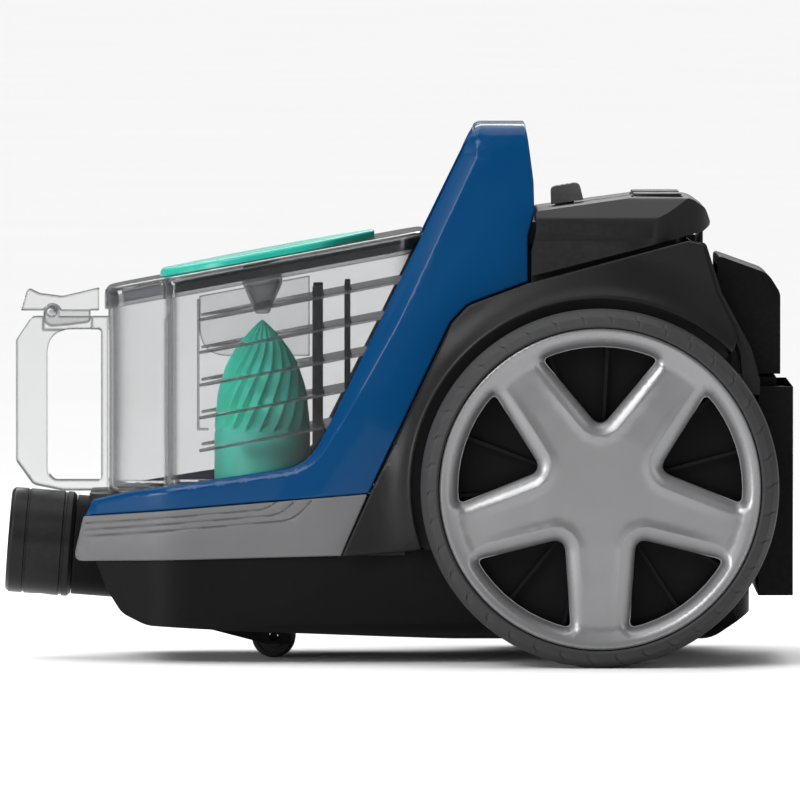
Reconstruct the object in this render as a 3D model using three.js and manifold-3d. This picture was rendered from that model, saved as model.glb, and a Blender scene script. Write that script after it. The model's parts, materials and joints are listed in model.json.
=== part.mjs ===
// A bagless canister vacuum cleaner, in millimetres.
// The hose inlet points along -X, the rear bumper is at +X, +Z is up and the floor is z = 0.
// The casing is mirrored about y = 0. Seen from behind the machine, "left" is the -Y side.
import * as THREE from "three";
import { mergeVertices } from "three/addons/utils/BufferGeometryUtils.js";
import Module from "manifold-3d";

const wasm = await Module();
wasm.setup();

// ---------------------------------------------------------------- driving dimensions
const length = 410; // hose collar to rear bumper
const width = 247; // over both rear wheels
const height = 279.5; // floor to the top of the carrying handle
const wall = 2.6; // moulded shells
const gap = 0.4; // between pieces that touch
const play = 0.8; // between pieces that move past each other
const far = 600; // longer than any piece, for cutting tools

const wheelRadius = 92.5;
const tyreWidth = 30;
const tyreDepth = 9.7; // tread to rim
const axleRadius = 5;
const axleInset = 100.5; // rear bumper to the wheel axle
const archGap = 5; // tyre to wheel-arch lip
const archWall = 3;
const archStand = 2; // the arch's plate stands out past the body's side

const collarRadius = 27.4;
const collarLength = 34;
const collarChamfer = 1.6;
const hoseRadius = 20; // bore that takes the hose cuff
const inletHeight = 59;
const inletTilt = THREE.MathUtils.degToRad(4.5);

const skin = 7.6; // depth of the outer casing panels over the inner housing
const panelWall = 3.4;
const noseHalf = 44;
const shoulderHalf = 74;

const bucketFloor = inletHeight + collarRadius + 1; // just over the hose collar
const bucketWall = 2.4;
const lidDepth = 11;
const lidFrontHeight = 194;
const lidSlope = Math.tan(THREE.MathUtils.degToRad(10.5));
const coneRadius = 25;
const coneHeight = 86;
const bladeCount = 5;
const bladePitch = 17;

const casterRadius = 11.5;
const casterWidth = 20;
const casterTrail = 18;
const swivelRadius = 31;

// ---------------------------------------------------------------- stations
const frontX = -length / 2;
const rearX = length / 2;
const collarMouth = collarRadius - collarChamfer; // outer radius at the collar's two ends
const inletX = frontX + collarMouth * Math.sin(inletTilt) + collarLength * Math.cos(inletTilt);
const noseX = inletX + 1;
const wheelX = rearX - axleInset;
const coverX = rearX - 103; // the middle of the motor room, which the rear casing is set out from
const wheelZ = wheelRadius;
const wheelOuterY = width / 2;
const wheelInnerY = wheelOuterY - tyreWidth;
const bodyHalf = wheelInnerY - 5.5;
const coreHalf = bodyHalf - skin - gap; // the inner housing, under the casing panels
const partitionX = coverX - 86; // front wall of the motor room
const tailX = rearX - 18.5; // back of the body shells
const shellTop = 60; // parting line of the bottom tub
const deckTop = bucketFloor - gap;
const archRadius = wheelRadius + archGap;
const archHole = wheelRadius - 8; // the arch's plate reaches in behind the tyre
const finFootX = coverX - 74.5; // the fin's rear foot, where the wheel arch meets the fin
const finRearX = coverX - 33.6; // rear edge of the fin, where the top cover starts
const bucketRear = partitionX - 4;
const bucketFront = noseX + 17.5;
const lobeX = bucketFront + 31; // step between the front chamber and the cyclone chamber
const bucketHalf = 62;
const lobeHalf = 45;
const handleTop = height;
const handleUnder = height - 17.5;

// ---------------------------------------------------------------- shape helpers
// A closed outline from corners [a, b, radius], each round corner a short curve.
function outline(corners, steps = 2) {
  const points = [];
  corners.forEach(([a, b, radius = 0], i) => {
    const corner = new THREE.Vector2(a, b);
    const before = new THREE.Vector2(...corners.at(i - 1).slice(0, 2)).sub(corner);
    const after = new THREE.Vector2(...corners[(i + 1) % corners.length].slice(0, 2)).sub(corner);
    const half = Math.abs(before.angleTo(after)) / 2;
    const reach = Math.min(radius / Math.tan(half), before.length() * 0.49, after.length() * 0.49);
    if (radius < 0.2 || reach < 0.05) {
      points.push(corner);
      return;
    }
    const start = corner.clone().add(before.setLength(reach));
    const end = corner.clone().add(after.setLength(reach));
    points.push(...new THREE.QuadraticBezierCurve(start, corner, end).getPoints(steps));
  });
  return points;
}

// The same corners moved inwards by a distance, as a wall's inner face.
function inset(corners, distance) {
  const area = corners.reduce((sum, [a, b], i) => {
    const [c, d] = corners[(i + 1) % corners.length];
    return sum + a * d - b * c;
  }, 0);
  const side = Math.sign(area);
  const normal = ([a, b], [c, d]) => new THREE.Vector2(b - d, c - a).normalize().multiplyScalar(side);
  return corners.map((corner, i) => {
    const n1 = normal(corners.at(i - 1), corner);
    const n2 = normal(corner, corners[(i + 1) % corners.length]);
    const move = n1.clone().add(n2).divideScalar(1 + n1.dot(n2)).multiplyScalar(distance);
    return [corner[0] + move.x, corner[1] + move.y, Math.max((corner[2] ?? 0) - distance, 0)];
  });
}

// Corners of a shape that is mirrored about its first coordinate's zero, from its positive half.
const mirrored = (half) => [...half, ...half.toReversed().map(([a, b, r]) => [-a, b, r])];

// Corners of a plan outline, mirrored about y = 0, from its y > 0 half.
const planOf = (half) => [...half, ...half.toReversed().map(([a, b, r]) => [a, -b, r])];

function prism(points, depth, holes = []) {
  const shape = new THREE.Shape(points);
  shape.holes = holes.map((hole) => new THREE.Path(hole));
  return new THREE.ExtrudeGeometry(shape, { depth, bevelEnabled: false });
}

// An XZ outline between two y, an XY outline between two z, and a YZ outline between two x.
const slab = (points, y0, y1, holes) =>
  solid(prism(points, y1 - y0, holes).rotateX(Math.PI / 2).translate(0, y1, 0));
const plate = (points, z0, z1, holes) => solid(prism(points, z1 - z0, holes).translate(0, 0, z0));
const toX = new THREE.Matrix4().set(0, 0, 1, 0, 1, 0, 0, 0, 0, 1, 0, 0, 0, 0, 0, 1);
const bar = (points, x0, x1, holes) =>
  solid(prism(points, x1 - x0, holes).applyMatrix4(toX).translate(x0, 0, 0));

function box(x0, x1, y0, y1, z0, z1) {
  const block = new THREE.BoxGeometry(x1 - x0, y1 - y0, z1 - z0);
  return solid(block.translate((x0 + x1) / 2, (y0 + y1) / 2, (z0 + z1) / 2));
}

// A box that is symmetrical about y = 0.
const centred = (x0, x1, half, z0, z1) => box(x0, x1, -half, half, z0, z1);

// A turned piece: profile points are [radius, distance along the axis].
const turnedGeometry = (profile, sides) =>
  new THREE.LatheGeometry(profile.map(([r, t]) => new THREE.Vector2(r, t)), sides);
const turnedY = (profile, sides = 20) => solid(turnedGeometry(profile, sides));
const turnedX = (profile, sides = 20) => solid(turnedGeometry(profile, sides).rotateZ(-Math.PI / 2));
const turnedZ = (profile, sides = 20) => solid(turnedGeometry(profile, sides).rotateX(Math.PI / 2));
const rodProfile = (radius, t0, t1) => [[0, t0], [radius, t0], [radius, t1], [0, t1]];
const ringProfile = (inner, outer, t0, t1) => [
  [inner, t0],
  [outer, t0],
  [outer, t1],
  [inner, t1],
  [inner, t0],
];
const rodX = (radius, x0, x1, y = 0, z = 0, sides = 10) =>
  solid(turnedGeometry(rodProfile(radius, x0, x1), sides).rotateZ(-Math.PI / 2).translate(0, y, z));
const rodY = (radius, y0, y1, x = 0, z = 0, sides = 10) =>
  solid(turnedGeometry(rodProfile(radius, y0, y1), sides).translate(x, 0, z));
const rodZ = (radius, z0, z1, x = 0, y = 0, sides = 10) =>
  solid(turnedGeometry(rodProfile(radius, z0, z1), sides).rotateX(Math.PI / 2).translate(x, y, 0));

// A closed geometry as a solid for cutting and joining, turned to face outwards.
function solid(geometry) {
  const bare = geometry.index ? geometry.toNonIndexed() : geometry.clone();
  bare.deleteAttribute("normal");
  bare.deleteAttribute("uv");
  const merged = mergeVertices(bare, 1e-4);
  const corners = merged.index.array;
  const kept = [];
  for (let i = 0; i < corners.length; i += 3) {
    const [a, b, c] = corners.slice(i, i + 3);
    if (a !== b && b !== c && c !== a) kept.push(a, b, c);
  }
  const vertProperties = merged.attributes.position.array;
  const made = (triVerts) => new wasm.Manifold(new wasm.Mesh({ numProp: 3, vertProperties, triVerts }));
  const first = made(Uint32Array.from(kept));
  return first.volume() < 0 ? made(Uint32Array.from(kept).reverse()) : first;
}

const cut = (shape, ...tools) => tools.reduce((rest, tool) => rest.subtract(tool), shape);
const join = (shape, ...others) => others.reduce((whole, other) => whole.add(other), shape);
const common = (shape, ...others) => others.reduce((rest, other) => rest.intersect(other), shape);

function geometryOf(shape) {
  const { vertProperties, triVerts } = shape.getMesh();
  const geometry = new THREE.BufferGeometry();
  geometry.setAttribute("position", new THREE.BufferAttribute(vertProperties, 3));
  geometry.setIndex(new THREE.BufferAttribute(triVerts, 1));
  geometry.computeVertexNormals();
  return geometry;
}

// ---------------------------------------------------------------- materials
const finish = (color, roughness, metalness) =>
  new THREE.MeshStandardMaterial({ color, roughness, metalness });
const plastic = (color, roughness = 0.5) => finish(color, roughness, 0);
const metal = (color, roughness = 0.35) => finish(color, roughness, 1);
const clear = (color, opacity) =>
  new THREE.MeshStandardMaterial({ color, opacity, roughness: 0.08, metalness: 0, transparent: true });

const blackPlastic = plastic(0x141415, 0.45);
const charcoal = plastic(0x2b2b2c, 0.45);
const trimGrey = plastic(0x6e6e6e, 0.4);
const bluePaint = plastic(0x043c72, 0.18);
const teal = plastic(0x33b89b, 0.45);
const silver = finish(0xa3a3a3, 0.4, 0.55);
const rubber = plastic(0x303031, 0.75);
const clearPlastic = clear(0xf2f4f5, 0.3);
const smokePlastic = clear(0x8b8d90, 0.45);
const foam = plastic(0x35393c, 0.95);
const filterPaper = plastic(0xe8e6dd, 0.9);
const steel = metal(0xb9bbbd);
const copper = metal(0xb8703a, 0.4);
const boardGreen = plastic(0x1f5b3a, 0.6);
const reelPlastic = plastic(0xd8d6cf, 0.5);

const vacuum = new THREE.Group();
vacuum.name = "canister_vacuum_cleaner";

function addPiece(name, shape, material, parent = vacuum) {
  const mesh = new THREE.Mesh(geometryOf(shape), material);
  mesh.name = name;
  parent.add(mesh);
  return mesh;
}

// A piece on the left (-Y) side and its mirror image on the right.
function addPair(name, shape, material, parent = vacuum) {
  addPiece(`left_${name}`, shape, material, parent);
  addPiece(`right_${name}`, shape, material, parent).scale.y = -1;
}

// ---------------------------------------------------------------- outlines that pieces share
// The body seen from above. Each panel's face is this outline moved in by a distance.
const bodyPlan = (distance = 0) =>
  inset(
    planOf([
      [noseX, noseHalf, 16],
      [noseX + 48, shoulderHalf, 60],
      [coverX - 92, bodyHalf, 60],
      [tailX, bodyHalf, 30],
    ]),
    distance,
  );

// The casing seen from the front: upright sides that lean in towards the carrying handle.
const leanStart = 120;
const handleHalf = 62;
const bodyFront = (distance = 0, top = handleTop) => {
  const lean = (bodyHalf - handleHalf) / (handleTop - leanStart);
  const topHalf = handleHalf + (handleTop - top) * lean;
  return [
    [bodyHalf - distance, 0],
    [bodyHalf - distance, leanStart],
    [topHalf - distance, top, 16],
    [-topHalf + distance, top, 16],
    [-bodyHalf + distance, leanStart],
    [-bodyHalf + distance, 0],
  ];
};

// The blue panel seen from the side: a low arm beside the bucket and a fin up to the handle.
const armFrontX = noseX + 6;
const armRear = 89; // height of the arm's lower edge at the wheel arch
const bluePanel = [
  [armFrontX, 75.8],
  [armFrontX + 4, 84.2, 3],
  [armFrontX + 23, 89],
  [partitionX - 62, 103, 26],
  [finRearX - 32, handleTop - 8, 10],
  [finRearX - 26, handleTop, 4],
  [finRearX - 3.5, handleTop, 7],
  [finRearX + 2.6, 234, 10],
  [finRearX - 0.6, 222, 8],
  [finRearX - 0.6, 198.4],
  [finRearX - 32, 186.7, 14],
  [finFootX, 177.3, 10],
  [partitionX - 30.6, armRear],
];

const finPanel = bluePanel.slice(3);
const rimDepth = 4; // width of the rim the panel turns inwards along its edge

// The grey band along the side, under the blue arm, and the dark panel that carries it to the wheel.
const trimFoot = 52;
const sideTrim = [
  [armFrontX - 1, 75.4],
  [partitionX - 31, armRear - gap],
  [partitionX - 45, 56.5],
  [armFrontX - 6.6, trimFoot],
];

const circlePoints = (cx, cz, radius, from, to, count) =>
  Array.from({ length: count + 1 }, (_, i) => {
    const angle = THREE.MathUtils.degToRad(from + ((to - from) * i) / count);
    return [cx + radius * Math.cos(angle), cz + radius * Math.sin(angle)];
  });

// The wheel arch's plate: from the blue panel and the top cover down to a circle round the tyre.
const coverFootFront = 199; // lower edge of the top cover at the fin
const coverFootRear = 224; // and at its rear end
const archStart = 34; // angle where the arch ends behind the wheel
const archEnd = 202; // and where it ends in front of it
const archPanel = [
  [partitionX - 44.6, 56.5],
  [partitionX - 30.2, armRear - 0.4],
  [finFootX + 0.5, 177],
  [finRearX - 31.8, 186.2, 14],
  [finRearX - 0.6, 197.8],
  [coverX + 48, 219.6],
  [coverX + 56, 218],
  [coverX + 63, 193, 20],
  [coverX + 78, 164, 20],
  ...circlePoints(wheelX, wheelZ, archHole, archStart, archEnd, 14),
];

// ---------------------------------------------------------------- inlet at the nose
const neckRadius = 26;
const spigotRadius = 22.4; // the neck's end inside the collar
const neckBore = 18.5;
const neckLength = 30;
const placeInlet = (geometry) => geometry.rotateY(inletTilt).translate(inletX, 0, inletHeight);
const inletRing = (profile, sides = 24) =>
  solid(placeInlet(turnedGeometry(profile, sides).rotateZ(-Math.PI / 2)));

function buildInlet() {
  const collar = inletRing([
    [hoseRadius, -collarLength + 1],
    [hoseRadius + 1.4, -collarLength],
    [collarRadius - collarChamfer, -collarLength],
    [collarRadius, -collarLength + 1.8],
    [collarRadius, -1.8],
    [collarRadius - collarChamfer, 0],
    [spigotRadius + gap, 0],
    [spigotRadius + gap, -12],
    [hoseRadius, -12],
    [hoseRadius, -collarLength + 1],
  ]);
  const neck = inletRing([
    [neckBore, -11.5],
    [spigotRadius, -11.5],
    [spigotRadius, gap],
    [neckRadius, gap],
    [neckRadius, neckLength],
    [neckBore, neckLength],
    [neckBore, -11.5],
  ]);
  addPiece("hose_collar", collar, blackPlastic);
  addPiece("inlet_neck", neck, blackPlastic);
}

// Room for the collar and the neck, cut from the pieces round them.
const inletRoom = join(
  inletRing(rodProfile(neckRadius + gap, -5, neckLength + gap)),
  inletRing(rodProfile(collarRadius + 1, -collarLength, gap)),
);

const ductOuter = 17;
const ductBore = 14.6;
const ductX = bucketFront + 42; // where the duct rises into the bucket
const ductTop = bucketFloor + 1.6;

function buildDuct() {
  const startX = inletX + (neckLength + gap) * Math.cos(inletTilt);
  const startZ = inletHeight - (neckLength + gap) * Math.sin(inletTilt);
  const path = new THREE.CatmullRomCurve3([
    new THREE.Vector3(startX + 0.4, 0, startZ),
    new THREE.Vector3(startX + 8, 0, startZ - 1),
    new THREE.Vector3(ductX - 8, 0, startZ + 5),
    new THREE.Vector3(ductX, 0, startZ + 18),
    new THREE.Vector3(ductX, 0, ductTop),
  ]);
  const section = new THREE.Shape().absarc(0, 0, ductOuter, 0, 2 * Math.PI);
  section.holes.push(new THREE.Path().absarc(0, 0, ductBore, 0, 2 * Math.PI));
  const tube = new THREE.ExtrudeGeometry(section, { steps: 6, curveSegments: 5, extrudePath: path });
  const above = box(-far, far, -far, far, ductTop, far);
  addPiece("inlet_duct", cut(solid(tube), above), blackPlastic);
}

// ---------------------------------------------------------------- bottom tub
const tubInset = 4; // the tub's side lies behind the side trim
const tubBottom = 12.5;
const swivelX = noseX + 85.5; // the caster's upright axis
const casterX = swivelX + casterTrail;
const wellTop = 27.4; // roof of the caster's round well
const stemRadius = 6;

const tubSide = (d = 0) => [
  [noseX + 9 + d, shellTop + (d ? wall : 0)],
  [noseX + 12 + d, 51],
  [noseX + 18 + d, 36 + d, 6],
  [noseX + 32 + d, 21.5 + d, 14],
  [noseX + 86, 17 + d, 60],
  [coverX - 70, tubBottom + d],
  [coverX + 60, tubBottom + d, 20],
  [tailX - d, 30 + d, 6],
  [tailX - d, shellTop + (d ? wall : 0)],
];

const tubFront = (d = 0) => [
  [bodyHalf - d, shellTop + 20],
  [bodyHalf - d, 44],
  [bodyHalf - 9 - d, tubBottom - 4 + d, 26],
  [-bodyHalf + 9 + d, tubBottom - 4 + d, 26],
  [-bodyHalf + d, 44],
  [-bodyHalf + d, shellTop + 20],
];

// Screws hold the tub to the housing from below.
const screwSpots = [
  [partitionX + 8, 0],
  [tailX - 22, 0],
];
const screwRadius = 2.2;
const screwSides = 8;
const bossRadius = 5.2;

function buildTub() {
  const outer = common(
    slab(outline(tubSide()), -far, far),
    plate(outline(bodyPlan(tubInset)), 0, shellTop),
    bar(outline(tubFront(tubInset)), -far, far),
  );
  const inner = common(
    slab(outline(tubSide(wall)), -far, far),
    plate(outline(bodyPlan(tubInset + wall)), 0, shellTop + 10),
    bar(outline(tubFront(tubInset + wall)), -far, far),
  );
  const wellRoof = rodZ(swivelRadius + play + wall, 10, wellTop + wall, swivelX, 0, 20);
  const well = rodZ(swivelRadius + play, 0, wellTop, swivelX, 0, 20);
  const stemBoss = rodZ(stemRadius + play + wall, wellTop, wellTop + 15, swivelX);
  const stemBore = rodZ(stemRadius + play, 0, far, swivelX);
  const upright = (radius, z0, z1, [x, y]) => rodZ(radius, z0, z1, x, y, screwSides);
  const bosses = screwSpots.map((spot) => common(upright(bossRadius, 5, shellTop - 4, spot), outer));
  const bores = screwSpots.flatMap((spot) => [
    upright(screwRadius + gap, 0, far, spot),
    upright(screwRadius * 2 + gap, 0, tubBottom + 10, spot),
  ]);
  const tub = cut(outer, inner);
  const fitted = join(tub, common(wellRoof, outer), stemBoss, ...bosses);
  addPiece("bottom_tub", cut(fitted, well, stemBore, ...bores, inletRoom), blackPlastic);
  screwSpots.forEach(([x, y], i) => {
    const head = tubBottom + 9.6;
    const shaft = rodZ(screwRadius, head - 2, shellTop - 10, x, y, screwSides);
    const cap = rodZ(screwRadius * 2, head - 2.4, head, x, y, screwSides);
    const slot = box(x - 3, x + 3, y - 0.5, y + 0.5, head - 3, head - 1.4);
    addPiece(`base_screw_${i + 1}`, cut(join(shaft, cap), slot), steel);
  });
}

// ---------------------------------------------------------------- caster
function buildCaster() {
  const side = [
    [swivelX - swivelRadius, wellTop - 4],
    [swivelX - swivelRadius + 1, 19, 2],
    [casterX - 4, 7.6, 8],
    [casterX + 10, 7.6, 5],
    [swivelX + swivelRadius, 15, 4],
    [swivelX + swivelRadius, wellTop - 4],
  ];
  const skirt = common(
    slab(outline(side), -swivelRadius, swivelRadius),
    rodZ(swivelRadius, 0, wellTop - play, swivelX, 0, 20),
    join(
      box(-far, far, -casterWidth / 2 - 6, casterWidth / 2 + 6, 0, far),
      box(-far, far, -far, far, wellTop - 9, far),
    ),
  );
  const disc = rodZ(swivelRadius, wellTop - 6, wellTop - play, swivelX, 0, 20);
  const stem = rodZ(stemRadius, wellTop - 4, wellTop + 16, swivelX);
  const clip = rodZ(stemRadius + 2.4, wellTop + 15.6, wellTop + 18, swivelX);
  const roomHalf = casterWidth / 2 + play;
  const roomRadius = casterRadius + play + 0.6;
  const slot = common(
    rodY(roomRadius, -roomHalf, roomHalf, casterX, casterRadius, 24),
    centred(-far, far, far, -far, wellTop - 2.4),
  );
  const mouth = centred(casterX - roomRadius, casterX + roomRadius, roomHalf, -far, casterRadius);
  const pinRadius = 2;
  const pinHalf = casterWidth / 2 + 4;
  const pinBore = rodY(pinRadius + gap, -pinHalf - gap, pinHalf + gap, casterX, casterRadius, 12);
  addPiece("caster_swivel", cut(join(skirt, disc, stem, clip), slot, mouth, pinBore), blackPlastic);
  const half = casterWidth / 2;
  const roller = new THREE.Group();
  roller.position.set(casterX, 0, casterRadius);
  vacuum.add(roller);
  addPiece("caster_roller", turnedY([
    [pinRadius + gap, -half],
    [casterRadius - 2, -half],
    [casterRadius, -half + 2.4],
    [casterRadius, half - 2.4],
    [casterRadius - 2, half],
    [pinRadius + gap, half],
    [pinRadius + gap, -half],
  ], 24), rubber, roller);
  addPiece("caster_pin", turnedY(rodProfile(pinRadius, -pinHalf, pinHalf), 12), steel, roller);
}

// ---------------------------------------------------------------- bucket seat
function buildSeat() {
  const ahead = box(-far, partitionX - gap, -far, far, shellTop + gap, deckTop);
  const outer = common(plate(outline(bodyPlan(skin + gap)), shellTop, deckTop), ahead);
  const inner = common(
    plate(outline(bodyPlan(skin + gap + wall)), 0, deckTop - wall),
    box(-far, partitionX - gap - wall, -far, far, 0, far),
  );
  const ductHole = rodZ(ductOuter + play, 0, far, ductX, 0, 16);
  addPiece("bucket_seat", cut(outer, inner, ductHole, inletRoom), charcoal);
  const gasket = turnedZ(ringProfile(ductOuter + gap, ductOuter + 4, deckTop + 0.3, deckTop + 2.4), 16);
  addPiece("inlet_gasket", gasket, rubber).position.set(ductX, 0, 0);
}

// ---------------------------------------------------------------- inner housing
const housingFoot = shellTop + gap;
const coverCeiling = 231;
const exhaustHalf = 60;
const exhaustFoot = 150; // the exhaust cover's hinge height
const exhaustFront = coverX + 64;

// The housing seen from the side. Its room runs on past both open ends.
const housingBack = (d = 0) => [
  [coverX + 52.5 - d, coverCeiling - 15],
  [coverX + 62 - d, 192, 30],
  [coverX + 74 - d, 160, 30],
  [tailX - d, 128, 20],
];
const housingSide = [
  [partitionX, housingFoot],
  [partitionX, 214],
  [finRearX - 2, 214],
  [finRearX + 6, 215],
  [coverX + 50, coverCeiling - 13],
  ...housingBack(),
  [tailX, housingFoot],
];
const housingRoom = [
  [partitionX + wall, 0],
  [partitionX + wall, far],
  [coverX + 52.5 - wall, far],
  ...housingBack(wall),
  [tailX - wall, 0],
];

const housingFront = (d = 0) => [
  [coreHalf - d, 0],
  [coreHalf - d, 170, 20],
  [coreHalf - 9 - d, far * 0.4],
  [-coreHalf + 9 + d, far * 0.4],
  [-coreHalf + d, 170, 20],
  [-coreHalf + d, 0],
];

// Everything behind the fin, and the leaning room between the fin's sides.
const underFin = (d) =>
  join(bar(outline(bodyFront(skin + gap + d)), -far, far), centred(finRearX + 1 + d, far, far, -far, far));

const ventHalf = 46;
const ventFoot = 160;
const ventTop = 200;

function buildHousing() {
  const outer = common(
    slab(outline(housingSide), -coreHalf, coreHalf),
    plate(outline(bodyPlan(skin + gap)), 0, far),
    bar(outline(housingFront()), -far, far),
    underFin(0),
  );
  const inner = common(
    slab(outline(housingRoom), -coreHalf, coreHalf),
    plate(outline(bodyPlan(skin + gap + wall)), 0, far),
    bar(outline(housingFront(wall)), -far, far),
    underFin(wall),
  );
  const axleBoss = rodY(axleRadius + gap + 5, -coreHalf + 1, -coreHalf + 22, wheelX, wheelZ, 20);
  const axleBore = rodY(axleRadius + gap, -far, -coreHalf + 18, wheelX, wheelZ, 20);
  const mirroredRod = (radius, y0, y1) => rodY(radius, -y1, -y0, wheelX, wheelZ, 20);
  const window = centred(partitionX - 5, partitionX + 10, 34, 112, 186);
  const exhaustRoom = centred(exhaustFront - gap, far, exhaustHalf + gap, exhaustFoot - gap, far);
  const vent = centred(exhaustFront - 30, far, ventHalf, ventFoot, ventTop);
  const frameX = exhaustFront - gap - wall;
  const frameHalf = exhaustHalf + 4;
  const shelfTop = exhaustFoot - gap;
  const ventFrame = common(centred(frameX, frameX + wall, frameHalf, exhaustFoot - 4, 212), outer);
  const shelf = common(centred(frameX, tailX, frameHalf, shelfTop - wall, shelfTop), outer);
  const glandHole = rodX(glandRadius + gap, tailX - 20, far, glandY, glandZ, 20);
  const shell = join(
    cut(outer, inner),
    ventFrame,
    shelf,
    axleBoss,
    mirroredRod(axleRadius + gap + 5, -coreHalf + 1, -coreHalf + 22),
  );
  const boreRight = mirroredRod(axleRadius + gap, -far, -coreHalf + 18);
  const housing = cut(shell, axleBore, boreRight, window, exhaustRoom, vent, glandHole);
  addPiece("inner_housing", housing, charcoal);
}

// ---------------------------------------------------------------- blue casing
function buildCasing() {
  const outer = common(
    slab(outline(bluePanel), -far, far),
    plate(outline(bodyPlan()), 0, far),
    bar(outline(bodyFront()), -far, far),
  );
  const room = common(
    plate(outline(bodyPlan(skin)), 0, handleUnder),
    bar(outline(bodyFront(skin)), -far, far),
  );
  const pocket = common(
    slab(outline(inset(bluePanel, rimDepth)), -far, far),
    plate(outline(bodyPlan(panelWall)), 0, far),
    bar(outline(bodyFront(panelWall, handleTop - panelWall)), -far, far),
  );
  const casing = cut(outer, room, pocket, inletRoom);
  addPiece("upper_casing", casing, bluePaint);
  const liner = common(
    slab(outline(inset(finPanel, rimDepth + gap)), -far, far),
    bar(outline(bodyFront(panelWall + gap, handleTop - panelWall)), -far, far),
    box(-far, far, -far, far, handleUnder, handleUnder + wall),
  );
  addPiece("handle_liner", liner, bluePaint);
}

// ---------------------------------------------------------------- side trims and wheel arches
const trimDepth = 3.4;
const archLip = 3.6;
const archOuterY = bodyHalf + 12; // the lip stands out beside the tyre

const archInnerY = -bodyHalf - archStand + archWall; // inner face of the left arch's plate

function buildSides() {
  const band = common(
    slab(outline(sideTrim), -far, -15),
    cut(plate(outline(bodyPlan()), 0, far), plate(outline(bodyPlan(trimDepth)), -1, far)),
  );
  addPair("side_trim", cut(band, inletRoom), trimGrey);

  const panel = slab(outline(archPanel), -bodyHalf - archStand, archInnerY);
  const lipSector = circlePoints(wheelX, wheelZ, archRadius * 1.4, archStart + 2, archEnd - 2, 9);
  const lip = common(
    cut(
      rodY(archRadius + archLip, -archOuterY, archInnerY, wheelX, wheelZ, 30),
      rodY(archRadius, -far, far, wheelX, wheelZ, 30),
    ),
    slab(outline([[coverX, wheelZ], ...lipSector]), -far, far),
  );
  const foot = slab(
    outline([[partitionX - 44, 57], [partitionX - 30, 88], [partitionX - 10, 88], [partitionX - 12, 57]]),
    archInnerY - 0.1,
    -bodyHalf + trimDepth,
  );
  const posts = [[finFootX + 16, 182], [coverX + 58, 186]].map(([x, z]) =>
    rodY(4, archInnerY - 0.1, -coreHalf - gap, x, z, 8),
  );
  const rearEdge = (shift) => {
    const moved = outline(archPanel).map((p) => new THREE.Vector2(p.x - shift, p.y));
    return slab(moved, archInnerY - 0.1, -coreHalf - gap);
  };
  const flange = common(cut(rearEdge(0), rearEdge(archWall)), box(coverX + 46, far, -far, far, 0, far));
  addPair("wheel_arch", join(panel, lip, foot, flange, ...posts), charcoal);
}

// ---------------------------------------------------------------- top cover, its slider and buttons
const coverHalf = bodyHalf + archStand - archWall - gap;
const coverTop = 242.4;
const coverFrontX = finRearX + 3.4;
const coverFrontTop = 234.6;
const coverCrestX = coverX + 21.6; // where the cover's top turns level
const coverEndX = rearX - 42.2;
const tongueTop = 229;
const coverSide = (d = 0) => [
  [finRearX + 1 + d, coverFootFront - (d ? 60 : 0)],
  [finRearX + 1 + d, 214],
  [finRearX + 3.4 + d, 224],
  [coverFrontX + d, coverFrontTop - d],
  [coverCrestX, coverTop - 0.6 - d],
  [coverX + 50, coverTop - 1 - d, 10],
  [coverEndX - 3 - d, 236 - d, 6],
  [coverEndX - d, 227.6, 3],
  [coverX + 56.6 - d, coverFootRear - (d ? 60 : 0)],
];
const coverPlan = (d = 0) =>
  inset(planOf([[0, coverHalf], [coverX + 30, coverHalf, 40], [coverEndX, 58, 30]]), d);
const coverFront = (d = 0) => [
  [coverHalf - d, 0],
  [coverHalf - d, 220],
  [coverHalf - 4 - d, 231 - d * 0.6],
  [coverHalf - 20 - d, coverTop + 1 - d],
  [-coverHalf + 20 + d, coverTop + 1 - d],
  [-coverHalf + 4 + d, 231 - d * 0.6],
  [-coverHalf + d, 220],
  [-coverHalf + d, 0],
];

const tongueHalf = 62;
const coverSlope = Math.atan2(coverTop - 0.6 - coverFrontTop, coverCrestX - coverFrontX);
const sliderX = finRearX + 13;
const sliderLength = 15;
const sliderTravel = 30;
const buttonX = coverX + 33;
const buttonY = 33;
const buttonLong = 25;
const buttonWide = 40;
const buttonTop = coverTop + 1;
const buttonTravel = 4;
const wellFloor = 213; // the spring's seat in each button's well
const stemFoot = 207; // the power button's stem ends over its switch
const stemHalf = 3.4;
const springTurns = 4;
const springRadius = 5.6;
const springWire = 0.55;
const springRise = buttonTop - 2.4 - wellFloor - 1.6;

const slopeAt = (x) => coverFrontTop + Math.tan(coverSlope) * (x - coverFrontX);
const padCorners = (cx, cy, halfX, halfY, r) => [
  [cx - halfX, cy - halfY, r],
  [cx + halfX, cy - halfY, r],
  [cx + halfX, cy + halfY, r],
  [cx - halfX, cy + halfY, r],
];

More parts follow.
